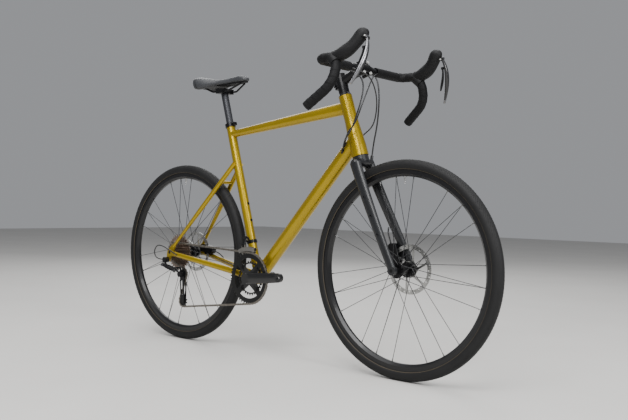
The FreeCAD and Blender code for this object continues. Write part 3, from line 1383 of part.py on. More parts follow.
def fork_leg(side):
    leg = leg_form(side)
    tip_inner = FRONT_AXLE + SIDE * (side * (FRONT_HUB_WIDTH / 2 + SEAT_FIT))
    tip_outer = FRONT_AXLE + SIDE * (side * (FRONT_HUB_WIDTH / 2 + LEG_LOW_WIDTH))
    leg = leg.fuse(rod(tip_inner, tip_outer, FORK_TIP_RADIUS))
    for along in LEG_BOSS_ALONG:
        share = 1 - along / LEG_TOP
        middle = leg_centre(share, side)
        face = middle + SIDE * (side * (leg_width(share) / 2 + BOSS_HEIGHT))
        leg = leg.fuse(rod(middle, face, BOSS_RADIUS))
        leg = leg.cut(rod(face - SIDE * (side * BOSS_DEPTH), face + SIDE * (side * OVERRUN),
                          BOSS_THREAD_RADIUS))
    leg = leg.cut(rod(FRONT_AXLE, tip_inner, FORK_TIP_RADIUS + OVERRUN))
    bore = rod(FRONT_AXLE, tip_outer + SIDE * (side * OVERRUN), THRU_AXLE_RADIUS + RUNNING_FIT)
    return leg.cut(bore)


def crown_port():
    """The mouth and the heading of the hose's way into the left leg."""
    ahead_share, side_share = 0.4, 0.1
    heading = (STEER_UP + STEER_AHEAD * ahead_share + SIDE * side_share).normalize()
    root = steer_point(LEG_TOP, LEG_TOP_DEPTH / 4, LEG_TOP_INSET)
    return root + heading * (CROWN_HEIGHT / 2 + PORT_LENGTH), heading


def fork():
    half_height = CROWN_HEIGHT / 2
    crown_shares = ((-1, 1.0), (-0.5, 1.0), (0, 1.04), (0.5, 1.0), (1, 1.0))
    sections = []
    for side_share, size_share in crown_shares:
        centre = steer_point(LEG_TOP, 0, LEG_TOP_INSET * side_share)
        sections.append(oval(centre, STEER_AHEAD, STEER_UP, CROWN_DEPTH / 2 * size_share,
                             half_height * size_share))
    body = loft(sections)
    for side in (1, -1):
        body = body.fuse(fork_leg(side))
        body = body.fuse(Part.makeSphere(LEG_TOP_WIDTH / 2, leg_centre(0, side)))
    low = steer_point(LEG_TOP)
    race = steer_point(HEAD_LOW - TOUCH_GAP)
    shoulder = steer_point(HEAD_LOW + BEARING_HEIGHT)
    neck = steer_point(HEAD_LOW + HEAD_LOW_HEIGHT + BEARING_HEIGHT)
    top = steer_point(STEM_TOP - OVERRUN)
    body = body.fuse(rod(low, race, LOWER_BEARING_RADIUS)).fuse(rod(low, shoulder, STEERER_LOW_RADIUS))
    body = body.fuse(cone(shoulder, neck, STEERER_LOW_RADIUS, STEERER_RADIUS)).fuse(rod(neck, top,
                                                                                        STEERER_RADIUS))
    mouth, heading = crown_port()
    body = body.fuse(rod(mouth - heading * CROWN_HEIGHT, mouth, PORT_RADIUS))
    bore = rod(steer_point(HEAD_LOW), steer_point(STEM_TOP), STEERER_RADIUS - STEERER_WALL)
    return body.cut(bore)


# Headset cover, spacers and top cap above the head tube
def headset_spacers():
    bore = STEERER_RADIUS + RUNNING_FIT
    low = steer_point(HEAD_TOP + TOUCH_GAP)
    cover = cone(low, steer_point(STACK_LOW), HEAD_TOP_RADIUS, SPACER_OUTER_RADIUS)
    pieces = [cover.cut(rod(low - STEER_UP * OVERRUN, steer_point(STACK_LOW + OVERRUN), bore))]
    each = SPACER_STACK / SPACER_COUNT
    for i in range(SPACER_COUNT):
        start = steer_point(STACK_LOW + each * i + WELD_GAP)
        pieces.append(pipe(start, steer_point(STACK_LOW + each * (i + 1)), SPACER_OUTER_RADIUS, bore))
    cap_low = steer_point(STEM_TOP + WELD_GAP)
    cap = rod(cap_low, steer_point(STEM_TOP + TOP_CAP_HEIGHT), SPACER_OUTER_RADIUS)
    socket = rod(steer_point(STEM_TOP + TOP_CAP_HEIGHT / 2),
                 steer_point(STEM_TOP + TOP_CAP_HEIGHT + OVERRUN), BOLT_HEAD_RADIUS)
    head = rod(steer_point(STEM_TOP + TOP_CAP_HEIGHT / 2 + WELD_GAP),
               steer_point(STEM_TOP + TOP_CAP_HEIGHT + WELD_GAP),
               BOLT_HEAD_RADIUS - SEAT_FIT)
    key = rod(steer_point(STEM_TOP + TOP_CAP_HEIGHT), steer_point(STEM_TOP + TOP_CAP_HEIGHT + OVERRUN),
              BOLT_RADIUS)
    pieces.append(cap.cut(socket))
    pieces.append(head.cut(key))
    return group(pieces)


# Stem and its faceplate, split at the middle of the bar clamp
BAR_ALONG = STEM_LOW + STEM_HEIGHT / 2 + STEM_RISE
CLAMP_OUTER = BAR_CLAMP_RADIUS + BAR_CLAMP_WALL
FACE_BOLT_UP = CLAMP_OUTER - BOLT_RADIUS / 2
FACE_BOLT_SIDE = BAR_CLAMP_WIDTH / 2 - BOLT_HEAD_RADIUS - OVERRUN
EAR_RADIUS = BOLT_HEAD_RADIUS + BOLT_RADIUS / 2
EAR_LENGTH = CLAMP_OUTER - BOLT_HEAD_HEIGHT
STEERER_BOLT_BACK = STEM_CLAMP_RADIUS + BOLT_HEAD_RADIUS - TOUCH_GAP


def face_bolt_places():
    return [(up * FACE_BOLT_UP, side * FACE_BOLT_SIDE) for up in (1, -1) for side in (1, -1)]


def steerer_bolt_places():
    quarter = STEM_HEIGHT / 4
    return [steer_point(STEM_LOW + STEM_HEIGHT / 2 + up * quarter, -STEERER_BOLT_BACK) for up in (1, -1)]


def stem_form():
    """Stem and faceplate before they are split apart."""
    middle = STEM_LOW + STEM_HEIGHT / 2
    start = steer_point(middle, STEERER_RADIUS)
    end = steer_point(BAR_ALONG, STEM_LENGTH - BAR_CLAMP_RADIUS)
    body = loft([oval(start, SIDE, STEER_UP, STEM_BODY_RADIUS, STEM_BODY_RADIUS + OVERRUN),
                 oval(end, SIDE, STEER_UP, BAR_CLAMP_WIDTH / 2 - OVERRUN, STEM_BODY_RADIUS)])
    body = body.fuse(rod(steer_point(STEM_LOW + WELD_GAP), steer_point(STEM_TOP), STEM_CLAMP_RADIUS))
    body = body.fuse(rod(*across(BAR_CENTRE, BAR_CLAMP_WIDTH / 2), CLAMP_OUTER))
    for up, side in face_bolt_places():
        ear = steer_point(BAR_ALONG + up, STEM_LENGTH - EAR_LENGTH, side)
        body = body.fuse(rod(ear, ear + STEER_AHEAD * (2 * EAR_LENGTH), EAR_RADIUS))
    ears = steer_point(middle, BOLT_HEAD_RADIUS / 2 - STEERER_BOLT_BACK)
    body = body.fuse(block(ears, STEER_AHEAD, SIDE, STEER_UP, 3 * BOLT_HEAD_RADIUS, 6 * BOLT_RADIUS,
                           STEM_HEIGHT - OVERRUN))
    body = body.cut(rod(*across(BAR_CENTRE, BAR_CLAMP_WIDTH), BAR_CLAMP_RADIUS + WELD_GAP))
    body = body.cut(rod(steer_point(STEM_LOW - OVERRUN), steer_point(STEM_TOP + OVERRUN),
                        STEERER_RADIUS + RUNNING_FIT))
    slit = steer_point(middle, -STEM_CLAMP_RADIUS - BOLT_HEAD_RADIUS)
    body = body.cut(block(slit, STEER_AHEAD, SIDE, STEER_UP, 2 * STEM_CLAMP_RADIUS, FACEPLATE_GAP / 2,
                          2 * STEM_HEIGHT))
    for up, side in face_bolt_places():
        hole = steer_point(BAR_ALONG + up, STEM_LENGTH - EAR_LENGTH, side)
        body = body.cut(rod(hole, hole + STEER_AHEAD * (2 * EAR_LENGTH + OVERRUN), BOLT_RADIUS + SEAT_FIT))
    for place in steerer_bolt_places():
        body = body.cut(rod(*across(place, STEM_CLAMP_RADIUS), BOLT_RADIUS + SEAT_FIT))
    return body


def half_space(front):
    """A large block before or behind the split of the bar clamp."""
    size = 2 * STEM_LENGTH + STEM_HEIGHT
    shift = (size + FACEPLATE_GAP) / 2
    centre = steer_point(BAR_ALONG, STEM_LENGTH + (shift if front else -shift))
    return block(centre, STEER_AHEAD, SIDE, STEER_UP, size, size, size)


def stem():
    return largest(stem_form().common(half_space(False)))


def bolt(start, end, head_height=BOLT_HEAD_HEIGHT):
    """A socket bolt whose head sits at the end of its shank."""
    line = (end - start).normalize()
    body = rod(start, end, BOLT_RADIUS).fuse(rod(end, end + line * head_height, BOLT_HEAD_RADIUS))
    key = rod(end + line * (head_height / 2), end + line * (head_height + OVERRUN), BOLT_RADIUS)
    return body.cut(key)


def stem_faceplate():
    pieces = [largest(stem_form().common(half_space(True)))]
    for up, side in face_bolt_places():
        start = steer_point(BAR_ALONG + up, STEM_LENGTH - EAR_LENGTH + WELD_GAP, side)
        pieces.append(bolt(start, start + STEER_AHEAD * (2 * EAR_LENGTH)))
    half = SIDE * (3 * BOLT_RADIUS + WELD_GAP)
    for place in steerer_bolt_places():
        pieces.append(bolt(place + half, place - half))
    return group(pieces)


# Handlebar: flared drops on a round bar that swells at the clamp
def grip(side, ahead, out=0, up=0):
    """A point in the tilted plane of one drop, measured from the bar's corner."""
    lean = V(0, -side * sin_deg(BAR_FLARE), cos_deg(BAR_FLARE))
    outward = V(0, side * cos_deg(BAR_FLARE), sin_deg(BAR_FLARE))
    return BAR_CENTRE + V(ahead, side * BAR_HALF_WIDTH, 0) + outward * out + lean * up


def bar_corners(side):
    return [grip(side, 0), grip(side, BAR_REACH), grip(side, BAR_REACH, 0, -BAR_DROP),
            grip(side, BAR_REACH - BAR_END_BACK, 0, -BAR_DROP - BAR_END_FALL)]


BAR_RADII = [BAR_CORNER_RADIUS, BAR_RAMP_RADIUS, BAR_HOOK_RADIUS]


def side_path(side, start, extra=0):
    points = [BAR_CENTRE + SIDE * (side * start)] + bar_corners(side)
    last = (points[-1] - points[-2]).normalize()
    points[-1] = points[-1] + last * extra
    return rounded_path(points, BAR_RADII)


def handlebar():
    pieces = []
    for side in (1, -1):
        pieces.append(swept(side_path(side, 0), BAR_RADIUS))
    bar = pieces[0].fuse(pieces[1])
    half = BAR_BULGE_HALF
    bar = bar.fuse(rod(*across(BAR_CENTRE, half), BAR_CLAMP_RADIUS))
    for side in (1, -1):
        start = BAR_CENTRE + SIDE * (side * half)
        bar = bar.fuse(cone(start, start + SIDE * (side * BAR_TAPER), BAR_CLAMP_RADIUS, BAR_RADIUS))
    for side in (1, -1):
        bar = bar.cut(swept(side_path(side, 0, OVERRUN), BAR_RADIUS - BAR_WALL))
    return bar.removeSplitter()


def bar_end_plugs():
    pieces = []
    for side in (1, -1):
        points = bar_corners(side)
        line = (points[-1] - points[-2]).normalize()
        start = points[-1] + line * WELD_GAP
        cap = rod(start, start + line * PLUG_LENGTH, PLUG_RADIUS)
        stub = rod(start - line * (2 * PLUG_LENGTH), start, BAR_RADIUS - BAR_WALL - SEAT_FIT)
        pieces.append(cap.fuse(stub))
    return group(pieces)


def bar_tape():
    pieces = []
    for side in (1, -1):
        path = side_path(side, TAPE_START)
        tape = swept(path, BAR_RADIUS + TAPE_THICKNESS, BAR_RADIUS + WELD_GAP)
        pieces.append(tape.cut(hood_form(side, TOUCH_GAP)))
    return group(pieces)


# Control levers: a rubber covered body on the bar, a brake blade and a shift paddle
def in_drop_plane(side, angle):
    """The heading and its normal in the tilted plane of one drop."""
    lean = V(0, -side * sin_deg(BAR_FLARE), cos_deg(BAR_FLARE))
    heading = FORWARD * cos_deg(angle) + lean * sin_deg(angle)
    normal = lean * cos_deg(angle) - FORWARD * sin_deg(angle)
    return heading, normal


def outward(side):
    return V(0, side * cos_deg(BAR_FLARE), sin_deg(BAR_FLARE))


HOOD_SHARES = ((0, -0.02, 6, 0.9, 0.92), (0.3, 0.09, 18, 1.0, 1.0), (0.6, 0.32, 38, 0.98, 1.02),
               (0.84, 0.7, 60, 0.98, 1.0), (0.96, 0.97, 70, 0.9, 0.92), (1.0, 1.08, 74, 0.5, 0.5))


def hood_form(side, grow=0):
    sections = []
    for ahead_share, up_share, angle, width_share, height_share in HOOD_SHARES:
        centre = grip(side, HOOD_START + HOOD_LENGTH * ahead_share, 0, HOOD_RISE * up_share)
        heading, normal = in_drop_plane(side, angle)
        sections.append(oval(centre, normal, outward(side) * -1, HOOD_HALF_HEIGHT * height_share + grow,
                             HOOD_HALF_WIDTH * width_share + grow))
    fall = sin_deg(RAMP_MIDDLE) * BAR_RAMP_RADIUS
    spot = grip(side, BAR_REACH - BAR_RAMP_RADIUS + fall, 0, fall - BAR_RAMP_RADIUS)
    heading, normal = in_drop_plane(side, -RAMP_MIDDLE)
    reach = heading * (HOOD_COLLAR / 2 + grow)
    return loft(sections).fuse(rod(spot - reach, spot + reach, HOOD_HALF_WIDTH + grow))


def lever_pivot(side):
    return grip(side, LEVER_PIVOT_AHEAD, 0, LEVER_PIVOT_UP)


def hood(side):
    """The lever body, bored for the bar, with the ears and pin of the brake blade."""
    body = hood_form(side)
    pivot = lever_pivot(side)
    ear_out = LEVER_HALF_WIDTH + LUG_RADIUS + LUG_CLEAR
    for out in (ear_out, -ear_out):
        end = pivot + outward(side) * out
        root = end - FORWARD * (2 * HOOD_HALF_HEIGHT)
        body = body.fuse(rod(root, end, LUG_RADIUS)).fuse(Part.makeSphere(LUG_RADIUS, end))
    body = body.fuse(rod(pivot - outward(side) * ear_out, pivot + outward(side) * ear_out, LEVER_PIN_RADIUS))
    half = outward(side) * (LEVER_HALF_WIDTH + LUG_CLEAR / 2)
    slot = rod(pivot - half, pivot + half, LEVER_HALF_WIDTH + 2 * LUG_CLEAR)
    pin = rod(pivot - half * 2, pivot + half * 2, LEVER_PIN_RADIUS)
    body = body.cut(slot).fuse(pin.common(slot))
    return largest(body.cut(swept(side_path(side, TAPE_START, OVERRUN), BAR_RADIUS + HOOD_BORE_ROOM)))


BLADE_SHARES = ((0, 0, 0, 0.8, 0.8), (0.05, 0.14, 0, 1.0, 1.1), (0.06, 0.42, 0, 1.4, 1.5),
                (-0.01, 0.72, 0.01, 1.25, 1.2), (-0.12, 1.0, 0.03, 0.8, 0.7))
PADDLE_DROP_SHARE = 0.21


def brake_lever(side):
    pivot = lever_pivot(side)
    sections = []
    lean = V(0, -side * sin_deg(BAR_FLARE), cos_deg(BAR_FLARE))
    places = []
    for ahead_share, down_share, out_share, width_share, depth_share in BLADE_SHARES:
        place = pivot + FORWARD * (LEVER_LENGTH * ahead_share) - lean * (LEVER_LENGTH * down_share)
        places.append(place + outward(side) * (LEVER_LENGTH * out_share))
    for i, place in enumerate(places):
        before = places[max(i - 1, 0)]
        after = places[min(i + 1, len(places) - 1)]
        heading = (after - before).normalize()
        depth = outward(side).cross(heading).normalize()
        half_width = LEVER_HALF_WIDTH * BLADE_SHARES[i][3]
        half_depth = LEVER_HALF_DEPTH * BLADE_SHARES[i][4]
        sections.append(oval(place, outward(side), depth, half_width, half_depth))
    blade = loft(sections)
    half = outward(side) * LEVER_HALF_WIDTH
    blade = blade.fuse(rod(pivot - half, pivot + half, LEVER_HALF_WIDTH))
    pin = paddle_pivot(side)
    blade = blade.fuse(rod(pin - FORWARD * PADDLE_HALF_WIDTH / 2, pin + FORWARD * LEVER_STANDOFF,
                           PADDLE_PIN_RADIUS))
    reach = half * 2
    return blade.cut(rod(pivot - reach, pivot + reach, LEVER_PIN_RADIUS + RUNNING_FIT))


def paddle_pivot(side):
    lean = V(0, -side * sin_deg(BAR_FLARE), cos_deg(BAR_FLARE))
    drop = LEVER_LENGTH * PADDLE_DROP_SHARE
    return lever_pivot(side) - lean * drop - FORWARD * (PADDLE_BEHIND - LEVER_STANDOFF + LEVER_HALF_DEPTH)


PADDLE_SHARES = ((0, 0, 0, 0.55), (0.4, -0.05, 0.02, 0.85), (0.78, -0.09, 0.12, 1.0), (1.0, -0.1, 0.2, 0.4))


def shift_paddle(side):
    pin = paddle_pivot(side)
    lean = V(0, -side * sin_deg(BAR_FLARE), cos_deg(BAR_FLARE))
    sections = []
    for down_share, out_share, back_share, size_share in PADDLE_SHARES:
        place = pin - lean * (PADDLE_LENGTH * down_share) + outward(side) * (PADDLE_LENGTH * out_share)
        place = place - FORWARD * (PADDLE_LENGTH * back_share)
        sections.append(oval(place, outward(side), FORWARD, PADDLE_HALF_WIDTH * size_share,
                             PADDLE_HALF_DEPTH))
    paddle = loft(sections)
    half = FORWARD * (PADDLE_HALF_WIDTH / 2 - LUG_CLEAR)
    paddle = paddle.fuse(rod(pin - half, pin + half, PADDLE_HALF_WIDTH * PADDLE_SHARES[0][3]))
    reach = FORWARD * PADDLE_HALF_WIDTH
    return paddle.cut(rod(pin - reach, pin + reach, PADDLE_PIN_RADIUS + RUNNING_FIT))


# Disc brake calipers, each with two pads either side of its rotor
def caliper(axle, half, first, second, seat, mate):
    """A body that straddles the rotor, its pads, and a foot against its mate."""
    y = half - ROTOR_INSET
    body = strap(first, second, CALIPER_RADIUS, CALIPER_RADIUS, y - CALIPER_INNER, y + CALIPER_OUTER)
    middle = (first + second) / 2
    line = (second - first).normalize()
    away = seat - middle
    away.y = 0
    reach = away.Length
    away.normalize()
    inner = y + CALIPER_SLOT / 2
    centre = V(middle.x, (inner + seat.y) / 2, middle.z) + away * (reach / 2)
    body = body.fuse(block(centre, away, SIDE, away.cross(SIDE), reach, seat.y - inner, CALIPER_LENGTH))
    slot = disc(axle + SIDE * y, ROTOR_RADIUS + CALIPER_ROTOR_ROOM, THRU_AXLE_RADIUS, CALIPER_SLOT)
    pieces = [largest(body.cut(mate).cut(slot))]
    pad_start = middle - line * (PAD_LENGTH / 2)
    pad_end = middle + line * (PAD_LENGTH / 2)
    face = ROTOR_THICKNESS / 2 + PAD_GAP
    back = CALIPER_SLOT / 2 - WELD_GAP
    for sign in (1, -1):
        edges = sorted((y + sign * face, y + sign * back))
        pad = strap(pad_start, pad_end, PAD_RADIUS, PAD_RADIUS, *edges)
        pieces.append(pad.common(slot))
    return group(pieces)


def front_caliper():
    first = FRONT_AXLE + STEER_UP * CALIPER_ALONG - STEER_AHEAD * CALIPER_BEHIND
    second = first + STEER_UP * CALIPER_LENGTH
    share = 1 - (CALIPER_ALONG + CALIPER_LENGTH / 2) / LEG_TOP
    return caliper(FRONT_AXLE, FRONT_HUB_WIDTH / 2, first, second, leg_centre(share, 1),
                   leg_form(1, TOUCH_GAP))


def rear_caliper():
    lift = SIDE.cross(CHAINSTAY_LINE) * -1
    first = REAR_AXLE + CHAINSTAY_LINE * REAR_CALIPER_ALONG + lift * REAR_CALIPER_ABOVE
    second = first + CHAINSTAY_LINE * CALIPER_LENGTH
    seat = (first + second) / 2 - lift * REAR_CALIPER_ABOVE
    seat.y = DROPOUT_INNER
    mate = chainstay_form(1, TOUCH_GAP).fuse(tab_slot(1, TOUCH_GAP))
    return caliper(REAR_AXLE, REAR_HUB_WIDTH / 2, first, second, seat, mate)


# Seat post, its collar, the saddle clamp, rails, shell and padded cover
POST_TOP = seat_point(SEAT_TUBE_LENGTH + SADDLE_RISE)
CRADLE_HEIGHT = 2 * RAIL_RADIUS + OVERRUN
RAIL_Z = POST_TOP.z + CRADLE_HEIGHT / 2 + RAIL_RADIUS
SADDLE_BASE = RAIL_Z + SADDLE_ABOVE_RAILS
SADDLE_TAIL = POST_TOP.x - SADDLE_SETBACK


def seat_post():
    low = seat_point(SEAT_TUBE_LENGTH - POST_INSERTION)
    post = pipe(low, POST_TOP, POST_RADIUS, POST_RADIUS - POST_WALL)
    cut = block(POST_TOP + UP * STEM_HEIGHT, FORWARD, SIDE, UP, STEM_LENGTH, STEM_LENGTH, 2 * STEM_HEIGHT)
    return post.cut(cut)


def seat_clamp():
    top = seat_point(SEAT_TUBE_LENGTH)
    low = seat_point(SEAT_TUBE_LENGTH - COLLAR_HEIGHT)
    outer = SEAT_TUBE_RADIUS + COLLAR_WALL
    ear = seat_point(SEAT_TUBE_LENGTH - COLLAR_HEIGHT / 2, outer + BOLT_HEAD_RADIUS - TOUCH_GAP)
    ring = rod(low, top, outer)
    ring = ring.fuse(block(ear - SEAT_AHEAD * (BOLT_HEAD_RADIUS / 2), SEAT_AHEAD, SIDE, SEAT_UP,
                           3 * BOLT_HEAD_RADIUS,
                           6 * BOLT_RADIUS, COLLAR_HEIGHT - OVERRUN))
    ring = ring.cut(rod(low - SEAT_UP * OVERRUN, top + SEAT_UP * OVERRUN, SEAT_TUBE_RADIUS + WELD_GAP))
    ring = ring.cut(block(ear, SEAT_AHEAD, SIDE, SEAT_UP, 6 * BOLT_HEAD_RADIUS, FACEPLATE_GAP / 2,
                          2 * COLLAR_HEIGHT))
    ring = ring.cut(rod(*across(ear, outer), BOLT_RADIUS + SEAT_FIT))
    half = SIDE * (3 * BOLT_RADIUS + WELD_GAP)
    return group([largest(ring), bolt(ear + half, ear - half)])


def rail_centre(side, ahead, z, spread=RAIL_SPACING):
    return V(POST_TOP.x + ahead, side * spread, z)


def saddle_rails():
    pieces = []
    top = SADDLE_BASE - SADDLE_SHELL_THICKNESS / 2
    room = saddle_shell(TOUCH_GAP)
    for side in (1, -1):
        points = [rail_centre(side, RAIL_FRONT_REACH, top, RAIL_FRONT_SPREAD),
                  rail_centre(side, RAIL_STRAIGHT, RAIL_Z),
                  rail_centre(side, -RAIL_STRAIGHT, RAIL_Z),
                  rail_centre(side, -RAIL_REAR_REACH, top, RAIL_REAR_SPREAD)]
        rail = swept(rounded_path(points, [RAIL_BEND_RADIUS, RAIL_BEND_RADIUS]), RAIL_RADIUS)
        pieces.append(largest(rail.cut(room)))
    return group(pieces)


def saddle_clamp():
    """A cradle on the post, a plate over the rails and the bolt between them."""
    cradle = block(V(POST_TOP.x, 0, POST_TOP.z + CRADLE_HEIGHT / 2), FORWARD, SIDE, UP, CLAMP_LENGTH,
                   CLAMP_WIDTH,
                   CRADLE_HEIGHT - WELD_GAP)
    plate_low = POST_TOP.z + CRADLE_HEIGHT + WELD_GAP
    plate = block(V(POST_TOP.x, 0, plate_low + CRADLE_HEIGHT / 2), FORWARD, SIDE, UP, CLAMP_LENGTH,
                  CLAMP_WIDTH,
                  CRADLE_HEIGHT)
    hole = rod(V(POST_TOP.x, 0, POST_TOP.z), V(POST_TOP.x, 0, plate_low + 2 * CRADLE_HEIGHT),
               BOLT_RADIUS + SEAT_FIT)
    pieces = []
    for body in (cradle, plate):
        for side in (1, -1):
            a = rail_centre(side, -CLAMP_LENGTH, RAIL_Z)
            b = rail_centre(side, CLAMP_LENGTH, RAIL_Z)
            body = body.cut(rod(a, b, RAIL_RADIUS + SEAT_FIT))
        pieces.append(body.cut(hole))
    top = plate_low + CRADLE_HEIGHT + WELD_GAP
    pieces.append(bolt(V(POST_TOP.x, 0, POST_TOP.z + WELD_GAP), V(POST_TOP.x, 0, top)))
    return group(pieces)


# Stations from tail to nose: length, width, foot, roof, top and the roof's width
SADDLE_STATION_SHARES = (
    (0, 0.5, -0.1, 0, 0.84, 0.5),
    (0.05, 0.84, -0.42, 0, 1.04, 0.56),
    (0.18, 1.0, -0.6, 0, 0.98, 0.6),
    (0.34, 0.86, -0.45, 0, 0.72, 0.6),
    (0.5, 0.56, -0.12, 0, 0.52, 0.62),
    (0.66, 0.37, 0, 0.04, 0.6, 0.66),
    (0.86, 0.3, 0.14, 0.16, 0.82, 0.7),
    (0.97, 0.22, 0.18, 0.2, 0.78, 0.7),
    (1, 0.12, 0.26, 0.28, 0.6, 0.7),
)
SADDLE_SECTION_SHARES = (0.1, 0.94, 1.0, 0.45, 0.88, 0.84, 0.46, 0.13)


def saddle_section(station, half, low, roof, ridge, roof_half):
    """A closed section: a roof over the shell, hanging sides, crown and channel."""
    step, foot, side_width, side_height, shoulder, shoulder_height, top, channel = SADDLE_SECTION_SHARES
    height = ridge - low
    crown = min(SADDLE_CROWN, half / 4)
    dip = min(SADDLE_CHANNEL, half / 4)
    right = [(roof_half, roof), (roof_half + half * step, low), (half * foot, low),
             (half * side_width, low + height * side_height),
             (half * shoulder, low + height * shoulder_height),
             (half * top, ridge + crown / 4), (half * channel, ridge)]
    right = [V(station, y, z) for y, z in right]
    left = [V(p.x, -p.y, p.z) for p in right]
    edges = [Part.LineSegment(left[0], right[0]).toShape()]
    for a, b in ((right[0], right[1]), (right[1], right[2])):
        edges.append(Part.LineSegment(a, b).toShape())
    edges.append(Part.Arc(right[2], right[3], right[4]).toShape())
    edges.append(Part.Arc(right[4], right[5], right[6]).toShape())
    edges.append(Part.Arc(right[6], V(station, 0, ridge - dip), left[6]).toShape())
    edges.append(Part.Arc(left[6], left[5], left[4]).toShape())
    edges.append(Part.Arc(left[4], left[3], left[2]).toShape())
    for a, b in ((left[2], left[1]), (left[1], left[0])):
        edges.append(Part.LineSegment(a, b).toShape())
    return Part.Wire(edges)


def saddle_cover():
    sections = []
    for length_share, width_share, low_share, roof_share, top_share, inner_share in SADDLE_STATION_SHARES:
        station = SADDLE_TAIL + SADDLE_LENGTH * length_share
        half = SADDLE_HALF_WIDTH * width_share
        low, roof, ridge = [SADDLE_BASE + SADDLE_HEIGHT * share for share in (low_share, roof_share,
                                                                              top_share)]
        sections.append(saddle_section(station, half, low, roof, ridge, half * inner_share))
    return loft(sections)


def saddle_shell(grow=0):
    """A plate under the cover's roof, between its hanging sides."""
    sections = []
    stations = SADDLE_STATION_SHARES[1:-1]
    for length_share, width_share, low_share, roof_share, top_share, inner_share in stations:
        station = SADDLE_TAIL + SADDLE_LENGTH * length_share
        half = SADDLE_HALF_WIDTH * width_share * inner_share - OVERRUN
        top = SADDLE_BASE + SADDLE_HEIGHT * roof_share - 4 * TOUCH_GAP + 2 * grow
        low = top - SADDLE_SHELL_THICKNESS - 3 * grow
        corners = [V(station, -half, low), V(station, half, low), V(station, half, top),
                   V(station, -half, top)]
        sections.append(Part.makePolygon(corners + corners[:1]))
    return Part.makeLoft(sections, True, True)


# Bosses, eyelets and cable ports that are fixed into the frame tubes
def port_mouth(side, back, lift):
    """The mouth and the heading of a cable port on the side of the down tube."""
    out_share, up_share = 0.5, 0.2
    heading = (DOWN_LINE + SIDE * (side * out_share) + DOWN_UP * up_share).normalize()
    spot = DOWN_TUBE_FRONT - DOWN_LINE * back + DOWN_UP * lift
    spot = spot + SIDE * (side * (DOWN_TUBE_RADIUS - PORT_RADIUS))
    return spot + heading * (2 * PORT_LENGTH), heading


FD_PORT = port_mouth(-1, PORT_BEHIND_HEAD, PORT_LIFT)
HOSE_PORT = port_mouth(-1, PORT_BEHIND_HEAD + PORT_SPACING, 0)
RD_PORT = port_mouth(1, PORT_BEHIND_HEAD, PORT_LIFT)


def port(mouth, heading):
    return largest(rod(mouth - heading * (2 * PORT_LENGTH), mouth, PORT_RADIUS).cut(down_outer(WELD_GAP)))


def frame_bosses():
    pieces = []
    places = [(face, SEAT_AHEAD) for face in seat_boss_faces()] + [(face,
                                                                    DOWN_UP) for face in down_boss_faces()]
    for face, out in places:
        bore = rod(face - out * (BOSS_DEPTH + OVERRUN), face + out * OVERRUN, BOSS_THREAD_RADIUS)
        pieces.append(insert(face, out, BOSS_RADIUS).cut(bore))
    for mouth, heading in (FD_PORT, HOSE_PORT, RD_PORT):
        pieces.append(port(mouth, heading))
    return group(pieces)


# Cables and hoses: hand-laid points, given along, ahead of and beside the steering axis
FD_ROUTE = ((492.0, 44.0, -48.0), (540.0, 78.0, -38.0), (590.0, 100.0, -14.0), (634.0, 108.0, 18.0),
            (652.0, 107.0, 46.0))
RD_ROUTE = ((492.0, 46.0, 48.0), (538.0, 82.0, 41.0), (584.0, 110.0, 20.0), (628.0, 124.0, -12.0),
            (651.0, 114.0, -44.0))
REAR_HOSE_ROUTE = ((474.0, 32.0, -60.0), (516.0, 70.0, -60.0), (566.0, 98.0, -47.0), (616.0, 110.0, -35.0),
                   (648.0, 101.0, -49.0))
FRONT_HOSE_ROUTE = ((480.0, 62.0, 42.0), (530.0, 90.0, 37.0), (582.0, 112.0, 33.0), (626.0, 114.0, 38.0),
                    (648.0, 101.0, 51.0))
RD_LOOP = ((10.0, -87.0, 10.0), (-28.0, -90.0, 25.0), (-64.0, -90.0, 27.0), (-87.0, -88.0, -2.0),
           (-68.0, -86.0, -31.0))
RD_LOOP_START = (52.0, -83.0, -8.0)
REAR_STUB = ((128.0, 52.0, 28.0), (150.0, 55.0, 23.0), (168.0, 57.0, 13.2))
FRONT_STUB = ((117.0, 10.0, 31.0), (138.0, 5.0, 38.0), (153.0, 6.5, 46.0))


def cord(name, points, radius):
    """A cord of straight runs and the largest arcs between them."""
    room_share = 0.48
    radii = free_radii(points, room_share)
    path = rounded_path(points, radii)
    solid = swept(path, radius)
    fill = solid.Volume / (math.pi * radius ** 2 * path.Length)
    print(name, "length", round(path.Length, 1), "radii", [round(r) for r in radii], "fill", round(fill, 4))
    return solid


def bar_leaving(side, angle, radius):
    """Where a cord comes out from under the tape, at an angle round the bar."""
    reach = BAR_RADIUS + radius + TOUCH_GAP
    return steer_point(BAR_ALONG - reach * cos_deg(angle), STEM_LENGTH + reach * sin_deg(angle),
                       side * (TAPE_START - OVERRUN))


def front_run(name, port_place, route, leaving, radius):
    mouth, heading = port_place
    start = mouth + heading * WELD_GAP
    points = [start,
              mouth + heading * (5 * PORT_LENGTH)] + [steer_point(*place) for place in route] + [leaving]
    return cord(name, points, radius)


def gear_cables():
    low = HOUSING_RADIUS
    front = front_run("front gear housing", FD_PORT, FD_ROUTE, bar_leaving(1, SHIFT_ANGLE, low), low)
    rear = front_run("rear gear housing", RD_PORT, RD_ROUTE, bar_leaving(-1, SHIFT_ANGLE, low), low)
    stop = V(HANGER.x - KNUCKLE_RADIUS - STOP_LENGTH - TOUCH_GAP, STOP_SIDE, HANGER.z)
    points = [REAR_AXLE + V(*RD_LOOP_START)] + [REAR_AXLE + V(*place) for place in RD_LOOP] + [stop]
    return group([front, rear, cord("rear gear loop", points, low)])


